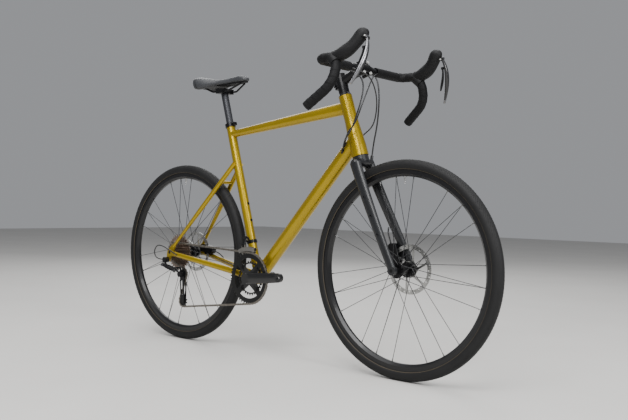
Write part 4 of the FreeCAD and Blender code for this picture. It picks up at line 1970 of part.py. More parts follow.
def rear_brake_hose():
    front = front_run("rear brake hose", HOSE_PORT, REAR_HOSE_ROUTE, bar_leaving(-1, 0, HOSE_RADIUS),
                      HOSE_RADIUS)
    lift = SIDE.cross(CHAINSTAY_LINE) * -1
    start = (REAR_CALIPER_ALONG + CALIPER_LENGTH + CALIPER_RADIUS + TOUCH_GAP,
             DROPOUT_INNER - 2 * STUB_INSET, REAR_CALIPER_ABOVE)
    points = [REAR_AXLE + CHAINSTAY_LINE * a + SIDE * y + lift * z for a, y, z in (start,) + REAR_STUB]
    return group([front, cord("rear brake stub", points, HOSE_RADIUS)])


def front_brake_hose():
    run = front_run("front brake hose", crown_port(), FRONT_HOSE_ROUTE, bar_leaving(1, 0, HOSE_RADIUS),
                    HOSE_RADIUS)
    start = (CALIPER_ALONG + CALIPER_LENGTH + CALIPER_RADIUS + TOUCH_GAP, FORK_OFFSET - CALIPER_BEHIND,
             FRONT_HUB_WIDTH / 2 - 2 * STUB_INSET)
    points = [steer_point(*place) for place in (start,) + FRONT_STUB]
    return group([run, cord("front brake stub", points, HOSE_RADIUS)])


FRONT_HALF = FRONT_HUB_WIDTH / 2
REAR_HALF = REAR_HUB_WIDTH / 2

save("head_tube", head_tube())
save("top_tube", top_tube())
save("down_tube", down_tube())
save("seat_tube", seat_tube())
save("bottom_bracket_shell", bottom_bracket_shell())
save("chainstays", chainstays())
save("seatstays", seatstays())
save("rear_dropouts", group([dropout(1), dropout(-1)]))
save("rear_thru_axle", thru_axle(REAR_AXLE, REAR_HALF, DROPOUT_THICKNESS))
save("frame_bearings", frame_bearings())
save("frame_bosses", frame_bosses())
save("seat_clamp", seat_clamp())
save("front_derailleur_clamp", front_derailleur_clamp())
save("rear_caliper", rear_caliper())
save("gear_cables", gear_cables())
save("rear_brake_hose", rear_brake_hose())
save("chain", chain())
save("rd_b_knuckle", rd_b_knuckle())

save("seat_post", seat_post())
save("saddle_clamp", saddle_clamp())
save("saddle_rails", saddle_rails())
save("saddle_shell", saddle_shell())
save("saddle_cover", saddle_cover())

save("fork", fork())
save("headset_spacers", headset_spacers())
save("stem", stem())
save("stem_faceplate", stem_faceplate())
save("handlebar", handlebar())
save("bar_tape", bar_tape())
save("bar_end_plugs", bar_end_plugs())
save("front_thru_axle", thru_axle(FRONT_AXLE, FRONT_HALF, LEG_LOW_WIDTH))
save("front_caliper", front_caliper())
save("front_brake_hose", front_brake_hose())
LEFT_CONTROLS = (("hood", hood(1)), ("brake_lever", brake_lever(1)), ("shift_paddle", shift_paddle(1)))
for name, shape in LEFT_CONTROLS:
    save("left_" + name, shape)
    save("right_" + name, mirrored(shape))

save("front_tyre", tyre(FRONT_AXLE))
save("front_rim", rim_with_valve(FRONT_AXLE))
save("front_spokes", spokes(FRONT_AXLE, FRONT_FLANGE_DRIVE, FRONT_FLANGE_DISC))
save("front_hub", hub(FRONT_AXLE, FRONT_HALF, FRONT_FLANGE_DRIVE, FRONT_FLANGE_DISC))
save("front_rotor", rotor(FRONT_AXLE, FRONT_HALF))
save("rear_tyre", tyre(REAR_AXLE))
save("rear_rim", rim_with_valve(REAR_AXLE))
save("rear_spokes", spokes(REAR_AXLE, REAR_FLANGE_DRIVE, REAR_FLANGE_DISC))
save("rear_hub", hub(REAR_AXLE, REAR_HALF, REAR_FLANGE_DRIVE, REAR_FLANGE_DISC))
save("rear_rotor", rotor(REAR_AXLE, REAR_HALF))

save("cassette", cassette())
save("crank_arms", crank_arms())
save("chainrings", chainrings())
save("rd_outer_link", derailleur_link(LINK_OUTER_BASE))
save("rd_inner_link", derailleur_link(LINK_INNER_BASE))
save("rd_p_knuckle", rd_p_knuckle())
save("rd_cage", rd_cage())
save("guide_pulley", pulley(GUIDE, GUIDE_PHASE))
save("tension_pulley", pulley(TENSION, TENSION_PHASE))
save("fd_arm", fd_arm())
save("fd_cage", fd_cage())
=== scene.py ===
import math
import bmesh
import bpy
from mathutils import Matrix, Vector


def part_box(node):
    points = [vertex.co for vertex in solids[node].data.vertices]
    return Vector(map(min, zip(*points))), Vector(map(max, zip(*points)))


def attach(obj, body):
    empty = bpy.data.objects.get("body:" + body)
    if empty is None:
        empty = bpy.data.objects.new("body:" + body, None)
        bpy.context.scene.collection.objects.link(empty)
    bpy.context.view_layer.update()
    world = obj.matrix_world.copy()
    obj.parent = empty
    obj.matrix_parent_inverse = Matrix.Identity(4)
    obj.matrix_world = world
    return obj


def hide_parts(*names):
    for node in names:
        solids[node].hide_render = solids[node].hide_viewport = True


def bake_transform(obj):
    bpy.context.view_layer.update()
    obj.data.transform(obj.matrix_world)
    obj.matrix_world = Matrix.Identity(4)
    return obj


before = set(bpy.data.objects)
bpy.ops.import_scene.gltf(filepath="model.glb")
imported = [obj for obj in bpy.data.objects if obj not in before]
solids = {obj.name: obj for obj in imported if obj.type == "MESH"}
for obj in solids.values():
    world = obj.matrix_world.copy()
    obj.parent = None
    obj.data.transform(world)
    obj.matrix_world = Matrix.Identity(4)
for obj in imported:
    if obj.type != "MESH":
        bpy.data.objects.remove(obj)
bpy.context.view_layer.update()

# Frame: alloy tubes welded end to side, the beads filed smooth, then sprayed with
# a metallic olive gold and clear lacquer. Fine flakes glitter in the gold, and the
# coat is a little deeper in some places than in others.
GOLD = ((0.27, 0.182, 0.002), (0.44, 0.30, 0.004))
CLOUD_SCALE = 6.0
GRAIN_SCALE = 900.0
CLOUD_DETAIL = 2.0
GRAIN_DETAIL = 1.0
GRAIN_DEPTH = 0.0004
LACQUER_ROUGHNESS = 0.1


def mottle_group():
    """Two scales of mottling in object space: broad clouds and a fine grain."""
    group = bpy.data.node_groups.new("mottle", "ShaderNodeTree")
    for name, start in (("Cloud Scale", CLOUD_SCALE), ("Grain Scale", GRAIN_SCALE)):
        socket = group.interface.new_socket(name, in_out="INPUT", socket_type="NodeSocketFloat")
        socket.default_value = start
    for name in ("Cloud", "Grain"):
        group.interface.new_socket(name, in_out="OUTPUT", socket_type="NodeSocketFloat")
    given = group.nodes.new("NodeGroupInput")
    result = group.nodes.new("NodeGroupOutput")
    place = group.nodes.new("ShaderNodeTexCoord")
    for name, detail in (("Cloud", CLOUD_DETAIL), ("Grain", GRAIN_DETAIL)):
        noise = group.nodes.new("ShaderNodeTexNoise")
        noise.inputs["Detail"].default_value = detail
        group.links.new(place.outputs["Object"], noise.inputs["Vector"])
        group.links.new(given.outputs[name + " Scale"], noise.inputs["Scale"])
        group.links.new(noise.outputs["Fac"], result.inputs[name])
    return group


MOTTLE = mottle_group()


def finish_of(name, shades, metallic, rough, cloud=CLOUD_SCALE, grain=GRAIN_SCALE, bump=0.0, coat=0.0,
              shine=0.5):
    """A finish that shades from deep to bright in clouds, with a grain in its gloss."""
    made = bpy.data.materials.new(name)
    made.use_nodes = True
    tree = made.node_tree
    shader = tree.nodes["Principled BSDF"]
    shader.inputs["Metallic"].default_value = metallic
    shader.inputs["Coat Weight"].default_value = coat
    shader.inputs["Coat Roughness"].default_value = LACQUER_ROUGHNESS
    shader.inputs["Specular IOR Level"].default_value = shine
    mottle = tree.nodes.new("ShaderNodeGroup")
    mottle.node_tree = MOTTLE
    mottle.inputs["Cloud Scale"].default_value = cloud
    mottle.inputs["Grain Scale"].default_value = grain
    colour = tree.nodes.new("ShaderNodeMix")
    colour.data_type = "RGBA"
    for socket, shade in zip(("A", "B"), shades):
        colour.inputs[socket].default_value = (*shade, 1)
    tree.links.new(mottle.outputs["Cloud"], colour.inputs["Factor"])
    tree.links.new(colour.outputs["Result"], shader.inputs["Base Color"])
    gloss = tree.nodes.new("ShaderNodeMapRange")
    for socket, limit in zip(("To Min", "To Max"), rough):
        gloss.inputs[socket].default_value = limit
    tree.links.new(mottle.outputs["Grain"], gloss.inputs["Value"])
    tree.links.new(gloss.outputs["Result"], shader.inputs["Roughness"])
    if bump:
        relief = tree.nodes.new("ShaderNodeBump")
        relief.inputs["Strength"].default_value = bump
        relief.inputs["Distance"].default_value = GRAIN_DEPTH
        tree.links.new(mottle.outputs["Grain"], relief.inputs["Height"])
        tree.links.new(relief.outputs["Normal"], shader.inputs["Normal"])
    return made


def dress(made, *names):
    for name in names:
        solids[name].data.materials.clear()
        solids[name].data.materials.append(made)


frame_paint = finish_of("frame_paint", GOLD, metallic=0.7, rough=(0.24, 0.40), grain=1600.0, coat=0.25)
dress(frame_paint, "head_tube", "top_tube", "down_tube", "seat_tube", "bottom_bracket_shell",
      "chainstays", "seatstays", "rear_dropouts")

# Frame fittings: bearing cups, threaded inserts, cable ports, the post's collar, the
# axle and the front derailleur's band, all in black anodised alloy.
ANODISED = ((0.003, 0.003, 0.0035), (0.008, 0.008, 0.009))
black_alloy = finish_of("black_alloy", ANODISED, metallic=0.4, rough=(0.28, 0.46), cloud=14.0, coat=0.1,
                        shine=0.3)
dress(black_alloy, "frame_bearings", "frame_bosses", "seat_clamp", "rear_thru_axle",
      "front_derailleur_clamp", "rear_caliper")

# Seat post and saddle carrier: a drawn alloy tube with a dark satin finish, a cradle
# and plate that clamp two steel rails, and a moulded nylon shell.
POST_GREY = ((0.030, 0.031, 0.036), (0.050, 0.052, 0.058))
NYLON_BLACK = ((0.003, 0.003, 0.0035), (0.007, 0.007, 0.0075))
post_alloy = finish_of("post_alloy", POST_GREY, metallic=0.6, rough=(0.38, 0.50), cloud=3.0)
nylon = finish_of("nylon", NYLON_BLACK, metallic=0.0, rough=(0.5, 0.66), bump=0.15, shine=0.3)
dress(post_alloy, "seat_post")
dress(black_alloy, "saddle_clamp", "saddle_rails")
dress(nylon, "saddle_shell")

# Saddle cover: a foam cushion under a stretched synthetic skin with a fine leather
# grain. It swells between its edges, and two seams run down beside its raked tail.
SADDLE_VOXEL = 0.003
SADDLE_WELD = 0.00002
SADDLE_INSET = 0.0008
SADDLE_SWELL = 0.0018
SADDLE_PRESSURE = 4.0
SADDLE_STEPS = 20
CLOTH_QUALITY = 6
SMOOTH_SHARE = 0.5
SMOOTH_ROUNDS = 3
TAIL_RAKE = 0.5
TAIL_LENGTH = 0.07
SEAMS = (0.021, 0.036)
SEAM_HALF = 0.0019
PORE_SCALE = 700.0
PORE_STRENGTH = 0.35
SKIN_GREY = ((0.022, 0.023, 0.026), (0.036, 0.038, 0.042))
THREAD_BLACK = (0.004, 0.004, 0.005)


def linked(name, mesh):
    made = bpy.data.objects.new(name, mesh)
    bpy.context.scene.collection.objects.link(made)
    return made


def meshed(name, shape):
    """A new object that holds what a bmesh has been shaped to."""
    mesh = bpy.data.meshes.new(name)
    shape.to_mesh(mesh)
    shape.free()
    return linked(name, mesh)


def applied(piece):
    """The piece with its modifiers worked into its mesh."""
    view = bpy.context.evaluated_depsgraph_get()
    mesh = bpy.data.meshes.new_from_object(piece.evaluated_get(view))
    piece.modifiers.clear()
    piece.data = mesh
    return piece


def shade_smooth(piece):
    for face in piece.data.polygons:
        face.use_smooth = True


def plumped(piece, pressure, steps, limit):
    """The piece blown up like a filled cover, no point moving further than limit."""
    rest = [vertex.co.copy() for vertex in piece.data.vertices]
    cloth = piece.modifiers.new("fill", "CLOTH")
    cloth.settings.use_pressure = True
    cloth.settings.uniform_pressure_force = pressure
    cloth.settings.effector_weights.gravity = 0
    cloth.settings.quality = CLOTH_QUALITY
    cloth.point_cache.frame_end = steps
    for step in range(1, steps + 1):
        bpy.context.scene.frame_set(step)
    applied(piece)
    bpy.context.scene.frame_set(1)
    for vertex, start in zip(piece.data.vertices, rest):
        move = vertex.co - start
        if move.length > limit:
            vertex.co = start + move.normalized() * limit
    return piece


def worked(tree, kind, operation, source, *values):
    """A maths node fed from a socket, with set values on its other inputs."""
    node = tree.nodes.new("ShaderNode" + kind)
    node.operation = operation
    tree.links.new(source, node.inputs[0])
    for spot, value in enumerate(values, 1):
        node.inputs[spot].default_value = value
    return node


def inlaid(made, mask, colour, bare=False):
    """The finish in another colour where the mask is one, and bare metal there if asked."""
    tree = made.node_tree
    shader = tree.nodes["Principled BSDF"]
    inlay = tree.nodes.new("ShaderNodeMix")
    inlay.data_type = "RGBA"
    inlay.inputs["B"].default_value = (*colour, 1)
    tree.links.new(mask, inlay.inputs["Factor"])
    tree.links.new(shader.inputs["Base Color"].links[0].from_socket, inlay.inputs["A"])
    tree.links.new(inlay.outputs["Result"], shader.inputs["Base Color"])
    if bare:
        tree.links.new(mask, shader.inputs["Metallic"])
    return made


shape = bmesh.new()
shape.from_mesh(solids["saddle_cover"].data)
bmesh.ops.remove_doubles(shape, verts=shape.verts, dist=SADDLE_WELD)
shape.normal_update()
saddle_low, saddle_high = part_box("saddle_cover")
for vertex in shape.verts:
    vertex.co -= vertex.normal * SADDLE_INSET
    near_tail = max(0.0, 1 - (vertex.co.x - saddle_low[0]) / TAIL_LENGTH)
    vertex.co.x += TAIL_RAKE * near_tail * (saddle_high[2] - vertex.co.z)
cushion = meshed("saddle_cushion", shape)
remesh = cushion.modifiers.new("even", "REMESH")
remesh.mode = "VOXEL"
remesh.voxel_size = SADDLE_VOXEL
applied(cushion)
plumped(cushion, SADDLE_PRESSURE, SADDLE_STEPS, SADDLE_SWELL)
smooth = cushion.modifiers.new("even_out", "SMOOTH")
smooth.factor = SMOOTH_SHARE
smooth.iterations = SMOOTH_ROUNDS
rounder = cushion.modifiers.new("rounder", "SUBSURF")
rounder.levels = 1
rounder.render_levels = 1
applied(cushion)
shade_smooth(cushion)
saddle_skin = finish_of("saddle_skin", SKIN_GREY, metallic=0.0, rough=(0.36, 0.5), grain=1200.0)
tree = saddle_skin.node_tree
place = tree.nodes.new("ShaderNodeTexCoord")
pores = tree.nodes.new("ShaderNodeTexVoronoi")
pores.inputs["Scale"].default_value = PORE_SCALE
relief = tree.nodes.new("ShaderNodeBump")
relief.inputs["Strength"].default_value = PORE_STRENGTH
relief.inputs["Distance"].default_value = GRAIN_DEPTH
tree.links.new(place.outputs["Object"], pores.inputs["Vector"])
tree.links.new(pores.outputs["Distance"], relief.inputs["Height"])
tree.links.new(relief.outputs["Normal"], tree.nodes["Principled BSDF"].inputs["Normal"])
slant = worked(tree, "VectorMath", "DOT_PRODUCT", place.outputs["Object"], (1, 0, TAIL_RAKE))
tail_line = saddle_low[0] + TAIL_RAKE * saddle_high[2]
for seam in SEAMS:
    line = worked(tree, "Math", "COMPARE", slant.outputs["Value"], tail_line + seam, SEAM_HALF)
    inlaid(saddle_skin, line.outputs[0], THREAD_BLACK)
cushion.data.materials.clear()
cushion.data.materials.append(saddle_skin)
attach(cushion, "seat")
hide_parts("saddle_cover")

# Fork: a carbon moulding from steerer to tips, painted a satin near-black. Its
# spacers, axle and brake caliper are black anodised alloy.
FORK_BLACK = ((0.006, 0.0065, 0.0075), (0.012, 0.013, 0.015))
fork_paint = finish_of("fork_paint", FORK_BLACK, metallic=0.15, rough=(0.32, 0.46), coat=0.2)
dress(fork_paint, "fork")
dress(black_alloy, "headset_spacers", "front_thru_axle", "front_caliper")

# Stem and faceplate: forged black alloy. The bolts that close it are bare steel, so
# the finish turns to steel inside each bolt's circle.
BAR_CENTRE = Vector((0.3521, 0.0, 0.9974))
HEAD_ANGLE = math.radians(71)
FACE_BOLT_UP = 0.01915
FACE_BOLT_SIDE = 0.01675
BOLT_HEAD = 0.0044
STEEL_BRIGHT = (0.55, 0.55, 0.54)
dress(black_alloy, "stem")
face_finish = finish_of("faceplate_alloy", ANODISED, metallic=0.4, rough=(0.28, 0.46), cloud=14.0, shine=0.3)
tree = face_finish.node_tree
place = tree.nodes.new("ShaderNodeTexCoord")
centred = worked(tree, "VectorMath", "SUBTRACT", place.outputs["Object"], BAR_CENTRE)
tilted = tree.nodes.new("ShaderNodeVectorRotate")
tilted.rotation_type = "Y_AXIS"
tilted.inputs["Angle"].default_value = math.pi / 2 - HEAD_ANGLE
tree.links.new(centred.outputs[0], tilted.inputs["Vector"])
folded = worked(tree, "VectorMath", "ABSOLUTE", tilted.outputs[0])
flat = worked(tree, "VectorMath", "MULTIPLY", folded.outputs[0], (0, 1, 1))
away = worked(tree, "VectorMath", "DISTANCE", flat.outputs[0], (0, FACE_BOLT_SIDE, FACE_BOLT_UP))
head = worked(tree, "Math", "LESS_THAN", away.outputs["Value"], BOLT_HEAD)
dress(inlaid(face_finish, head.outputs[0], STEEL_BRIGHT), "stem_faceplate")

# Handlebar: a bent and flared alloy tube in satin black, closed by two nylon plugs
# that press into the open ends of its drops.
dress(black_alloy, "handlebar")
dress(nylon, "bar_end_plugs")

# Bar tape: a padded strip wound round the bar from the drop's end towards the stem,
# each turn lapping the one before. A smooth band of finishing tape holds its end.
TAPE_RADIUS = 0.0150
TAPE_THICKNESS = 0.0016
TAPE_LAP = 0.0008
TAPE_PITCH = 0.021
LAP_SHARE = 0.86
TAPE_STEP = 0.0016
TAPE_FACETS = 30
FINISHING_BAND = 0.016
BAND_RISE_SHARE = 0.6
BAR_HALF_WIDTH = 0.222
TAPE_START = 0.070
BAR_CORNER = 0.030
BAR_RAMP = 0.044
BAR_HOOK = 0.078
BAR_REACH = 0.082
BAR_DROP = 0.090
BAR_END = Vector((0.080, 0.066))
FLARE = math.radians(18)
DROP_OUT = Vector((0, math.cos(FLARE), math.sin(FLARE)))
HOOK_TURN = math.acos(BAR_END.y / BAR_END.length)
HOOK_TANGENT = BAR_HOOK * math.tan(HOOK_TURN / 2)
UNDER_HOOD = (0.30, 0.67)
TAPE_BLACK = ((0.004, 0.004, 0.0045), (0.009, 0.009, 0.0095))


class TapeRun:
    """A ring of tape drawn along the bar; each row keeps its place for the laps."""

    def __init__(self, shape, centre):
        self.shape = shape
        self.centre = Vector(centre)
        self.heading = Vector((0, 1, 0))
        self.mark = Vector((0, 0, 1))
        self.along = 0.0
        self.rows = []
        self.bare = []
        stand = Matrix.Translation(centre) @ Matrix.Rotation(math.pi / 2, 4, "X")
        ring = bmesh.ops.create_circle(shape, segments=TAPE_FACETS, radius=TAPE_RADIUS, matrix=stand)
        self.verts = ring["verts"]
        self.edges = list({edge for vertex in self.verts for edge in vertex.link_edges})
        self.keep()

    def keep(self):
        across = self.heading.cross(self.mark)
        self.rows.append((self.verts, self.centre.copy(), across, self.mark.copy(), self.along))

    def draw(self, length):
        made = bmesh.ops.extrude_edge_only(self.shape, edges=self.edges)["geom"]
        self.verts = [item for item in made if isinstance(item, bmesh.types.BMVert)]
        ends = set(self.verts)
        edges = [item for item in made if isinstance(item, bmesh.types.BMEdge)]
        self.edges = [edge for edge in edges if ends.issuperset(edge.verts)]
        self.along += length

    def straight(self, length):
        steps = max(1, round(length / TAPE_STEP))
        for step in range(steps):
            self.draw(length / steps)
            bmesh.ops.translate(self.shape, vec=self.heading * (length / steps), verts=self.verts)
            self.centre += self.heading * (length / steps)
            self.keep()

    def bend(self, radius, turn, axis, bare=(1.0, 1.0)):
        """An arc of the bar; the tape is left off over the bare share of it."""
        steps = max(1, round(radius * turn / TAPE_STEP))
        middle = self.centre + axis.cross(self.heading) * radius
        roll = Matrix.Rotation(turn / steps, 3, axis)
        for step in range(steps):
            self.draw(radius * turn / steps)
            bmesh.ops.rotate(self.shape, cent=middle, matrix=roll, verts=self.verts)
            self.centre = middle + roll @ (self.centre - middle)
            self.heading = roll @ self.heading
            self.mark = roll @ self.mark
            self.keep()
            if bare[0] < (step + 1) / steps < bare[1]:
                self.bare += self.verts

    def lap(self):
        """Every row swollen where its turn of tape lies over the one before."""
        for verts, centre, across, mark, along in self.rows:
            for vertex in verts:
                out = vertex.co - centre
                turn = math.atan2(out.dot(across), out.dot(mark)) / (2 * math.pi)
                lap = (along / TAPE_PITCH + turn) % 1
                rise = lap / LAP_SHARE if lap < LAP_SHARE else (1 - lap) / (1 - LAP_SHARE)
                rise = BAND_RISE_SHARE if along < FINISHING_BAND else rise
                vertex.co = centre + out * (1 + TAPE_LAP * rise / TAPE_RADIUS)
        bmesh.ops.delete(self.shape, geom=self.bare, context="VERTS")


shape = bmesh.new()
run = TapeRun(shape, (BAR_CENTRE.x, TAPE_START, BAR_CENTRE.z))
run.straight(BAR_HALF_WIDTH - TAPE_START - BAR_CORNER)
run.bend(BAR_CORNER, math.pi / 2, Vector((0, 0, -1)))
run.straight(BAR_REACH - BAR_CORNER - BAR_RAMP)
run.bend(BAR_RAMP, math.pi / 2, DROP_OUT, bare=UNDER_HOOD)
run.straight(BAR_DROP - BAR_RAMP - HOOK_TANGENT)
run.bend(BAR_HOOK, HOOK_TURN, DROP_OUT)
run.straight(BAR_END.length - HOOK_TANGENT)
run.lap()
other = bmesh.ops.duplicate(shape, geom=shape.verts[:] + shape.edges[:] + shape.faces[:])["geom"]
mirrored = [item for item in other if isinstance(item, bmesh.types.BMVert)]
bmesh.ops.scale(shape, vec=(1, -1, 1), verts=mirrored)
bmesh.ops.recalc_face_normals(shape, faces=shape.faces)
tape = meshed("bar_tape_winding", shape)
wall = tape.modifiers.new("thickness", "SOLIDIFY")
wall.thickness = TAPE_THICKNESS
wall.offset = -1
shade_smooth(tape)
tape_skin = finish_of("tape_skin", TAPE_BLACK, metallic=0.0, rough=(0.5, 0.7), grain=700.0, bump=0.4,
                      shine=0.15)
tape.data.materials.append(tape_skin)
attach(tape, "steering")
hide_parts("bar_tape")

# Lever hoods: soft rubber stretched over each lever's body, with the steel head of
# the lever's pin at its side. The brake blades are black cast alloy with a painted
# highlight in bare silver along the outer edge and at the tip, and the shift paddles
# behind them are moulded nylon.
HOOD_PIN_AHEAD = 0.176
HOOD_PIN_UP = 0.050
HOOD_PIN = BAR_CENTRE + Vector((HOOD_PIN_AHEAD, BAR_HALF_WIDTH - HOOD_PIN_UP * math.sin(FLARE),
                                HOOD_PIN_UP * math.cos(FLARE)))
PIN_HEAD = 0.0026
TIP_BRIGHT = 0.012
TIP_FADE_SHARE = 0.8
# Width and colour of the painted highlight along each blade's outer edge and tip.
HIGHLIGHT_EDGE = 0.0015
HIGHLIGHT_SILVER = (0.19, 0.19, 0.20)
RUBBER_BLACK = ((0.004, 0.004, 0.0045), (0.009, 0.009, 0.0095))
BLADE_BLACK = ((0.004, 0.004, 0.0045), (0.010, 0.010, 0.011))
rubber = finish_of("hood_rubber", RUBBER_BLACK, metallic=0.0, rough=(0.46, 0.64), grain=1500.0, bump=0.3,
                   shine=0.22)
tree = rubber.node_tree
place = tree.nodes.new("ShaderNodeTexCoord")
folded = worked(tree, "VectorMath", "ABSOLUTE", place.outputs["Object"])
centred = worked(tree, "VectorMath", "SUBTRACT", folded.outputs[0], HOOD_PIN)
around = worked(tree, "VectorMath", "CROSS_PRODUCT", centred.outputs[0], DROP_OUT)
away = worked(tree, "VectorMath", "LENGTH", around.outputs[0])
head = worked(tree, "Math", "LESS_THAN", away.outputs["Value"], PIN_HEAD)
dress(inlaid(rubber, head.outputs[0], STEEL_BRIGHT, bare=True), "right_hood", "left_hood")


def faded(tree, source, start, end):
    """A mask that goes from nothing at start to one at end."""
    node = tree.nodes.new("ShaderNodeMapRange")
    node.inputs["From Min"].default_value = start
    node.inputs["From Max"].default_value = end
    tree.links.new(source, node.inputs["Value"])
    return node.outputs["Result"]


for name, side in (("right_brake_lever", -1), ("left_brake_lever", 1)):
    blade = finish_of(name + "_alloy", BLADE_BLACK, metallic=0.3, rough=(0.24, 0.4), cloud=20.0, coat=0.3)
    tree = blade.node_tree
    place = tree.nodes.new("ShaderNodeTexCoord")
    outwards = (0, DROP_OUT.y * side, DROP_OUT.z)
    facing = worked(tree, "VectorMath", "DOT_PRODUCT", place.outputs["Object"], outwards)
    edge = HOOD_PIN.dot(DROP_OUT) + HIGHLIGHT_EDGE
    outer = faded(tree, facing.outputs["Value"], edge, edge + HIGHLIGHT_EDGE)
    height = tree.nodes.new("ShaderNodeSeparateXYZ")
    tree.links.new(place.outputs["Object"], height.inputs[0])
    tip_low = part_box(name)[0][2]
    tip = faded(tree, height.outputs["Z"], tip_low + TIP_BRIGHT, tip_low + TIP_BRIGHT * TIP_FADE_SHARE)
    # Silver along the blade's outer edge and at its tip: a painted highlight, laid on as bare metal.
    painted_highlight = worked(tree, "Math", "MAXIMUM", outer)
    tree.links.new(tip, painted_highlight.inputs[1])
    dress(inlaid(blade, painted_highlight.outputs[0], HIGHLIGHT_SILVER, bare=True), name)
dress(nylon, "right_shift_paddle", "left_shift_paddle")

# Wheels: box-section alloy rims in satin black with a silver valve, black spokes in
# bare nipples, sealed hubs and slotted steel rotors.
FRONT_AXLE = Vector((0.532, 0.0, 0.349))
REAR_AXLE = Vector((-0.532, 0.0, 0.349))
RIM_INNER = 0.295
RIM_SKIN = 0.0002
NIPPLE_LENGTH = 0.012
GROOVE_PITCH = 0.0008
GROOVE_DEPTH = 0.00006
GROOVE_STRENGTH = 0.5
RIM_BLACK = ((0.003, 0.003, 0.0035), (0.007, 0.007, 0.008))
SPOKE_BLACK = ((0.006, 0.006, 0.007), (0.016, 0.016, 0.018))
NIPPLE_GREY = (0.20, 0.20, 0.20)
ROTOR_STEEL = ((0.40, 0.40, 0.39), (0.58, 0.58, 0.56))


def turned_group():
    """How far a point is from a wheel's axle, and the fine grooves turned there."""
    group = bpy.data.node_groups.new("turned", "ShaderNodeTree")
    group.interface.new_socket("Axle", in_out="INPUT", socket_type="NodeSocketVector")
    pitch = group.interface.new_socket("Pitch", in_out="INPUT", socket_type="NodeSocketFloat")
    pitch.default_value = GROOVE_PITCH
    for name in ("Reach", "Groove"):
        group.interface.new_socket(name, in_out="OUTPUT", socket_type="NodeSocketFloat")
    given = group.nodes.new("NodeGroupInput")
    result = group.nodes.new("NodeGroupOutput")
    place = group.nodes.new("ShaderNodeTexCoord")
    level = worked(group, "VectorMath", "MULTIPLY", place.outputs["Object"], (1, 0, 1))
    away = worked(group, "VectorMath", "DISTANCE", level.outputs[0])
    groove = worked(group, "Math", "PINGPONG", away.outputs["Value"])
    share = worked(group, "Math", "DIVIDE", groove.outputs[0])
    group.links.new(given.outputs["Axle"], away.inputs[1])
    group.links.new(given.outputs["Pitch"], groove.inputs[1])
    group.links.new(given.outputs["Pitch"], share.inputs[1])
    group.links.new(away.outputs["Value"], result.inputs["Reach"])
    group.links.new(share.outputs[0], result.inputs["Groove"])
    return group


TURNED = turned_group()


def about_axle(tree, axle):
    made = tree.nodes.new("ShaderNodeGroup")
    made.node_tree = TURNED
    made.inputs["Axle"].default_value = (axle.x, 0, axle.z)
    made.inputs["Pitch"].default_value = GROOVE_PITCH
    return made


def banded(made, axle, centre, half, colour, bare=False):
    """The finish with another colour where the distance from the axle lies in a band."""
    tree = made.node_tree
    near = worked(tree, "Math", "COMPARE", about_axle(tree, axle).outputs["Reach"], centre, half)
    return inlaid(made, near.outputs[0], colour, bare)


def turned(made, axle):
    """The finish with the fine rings that a lathe or a brake pad leaves round an axle."""
    tree = made.node_tree
    rings = tree.nodes.new("ShaderNodeBump")
    rings.inputs["Strength"].default_value = GROOVE_STRENGTH
    rings.inputs["Distance"].default_value = GROOVE_DEPTH
    tree.links.new(about_axle(tree, axle).outputs["Groove"], rings.inputs["Height"])
    tree.links.new(rings.outputs["Normal"], tree.nodes["Principled BSDF"].inputs["Normal"])
    return made


dress(black_alloy, "front_hub", "rear_hub")
for name, axle in (("front", FRONT_AXLE), ("rear", REAR_AXLE)):
    rim = finish_of(name + "_rim_alloy", RIM_BLACK, metallic=0.3, rough=(0.3, 0.42), coat=0.2, shine=0.3)
    dress(banded(rim, axle, 0.0, RIM_INNER - RIM_SKIN, STEEL_BRIGHT, bare=True), name + "_rim")
    spoke = finish_of(name + "_spoke_steel", SPOKE_BLACK, metallic=0.8, rough=(0.25, 0.35), cloud=40.0)
    dress(banded(spoke, axle, RIM_INNER, NIPPLE_LENGTH, NIPPLE_GREY, bare=True), name + "_spokes")
    rotor = finish_of(name + "_rotor_steel", ROTOR_STEEL, metallic=1.0, rough=(0.2, 0.34), cloud=30.0)
    dress(turned(rotor, axle), name + "_rotor")

# Tyres: black rubber with a smooth crown, rows of low diamond knobs on the shoulders
# and a thin tan line above the bead where the casing's protection strip shows.
TYRE_MIDDLE = 0.330
TYRE_HALF = 0.019
KNOB_ROWS = ((28.0, 190, 0.0), (37.0, 190, 0.5), (46.0, 190, 0.0), (56.0, 95, 0.25))
KNOB_SIZE = (0.0046, 0.0024, 0.0014)
KNOB_TURN = math.radians(38)
KNOB_TOP_SHARE = 0.7
LINE_RADIUS = 0.3184
LINE_HALF = 0.0005
LINE_TAN = (0.085, 0.066, 0.04)
TYRE_BLACK = ((0.004, 0.004, 0.0042), (0.010, 0.010, 0.0105))
tyre_rubber = finish_of("tyre_rubber", TYRE_BLACK, metallic=0.0, rough=(0.55, 0.75), cloud=12.0, grain=1200.0,
                        bump=0.25, shine=0.3)


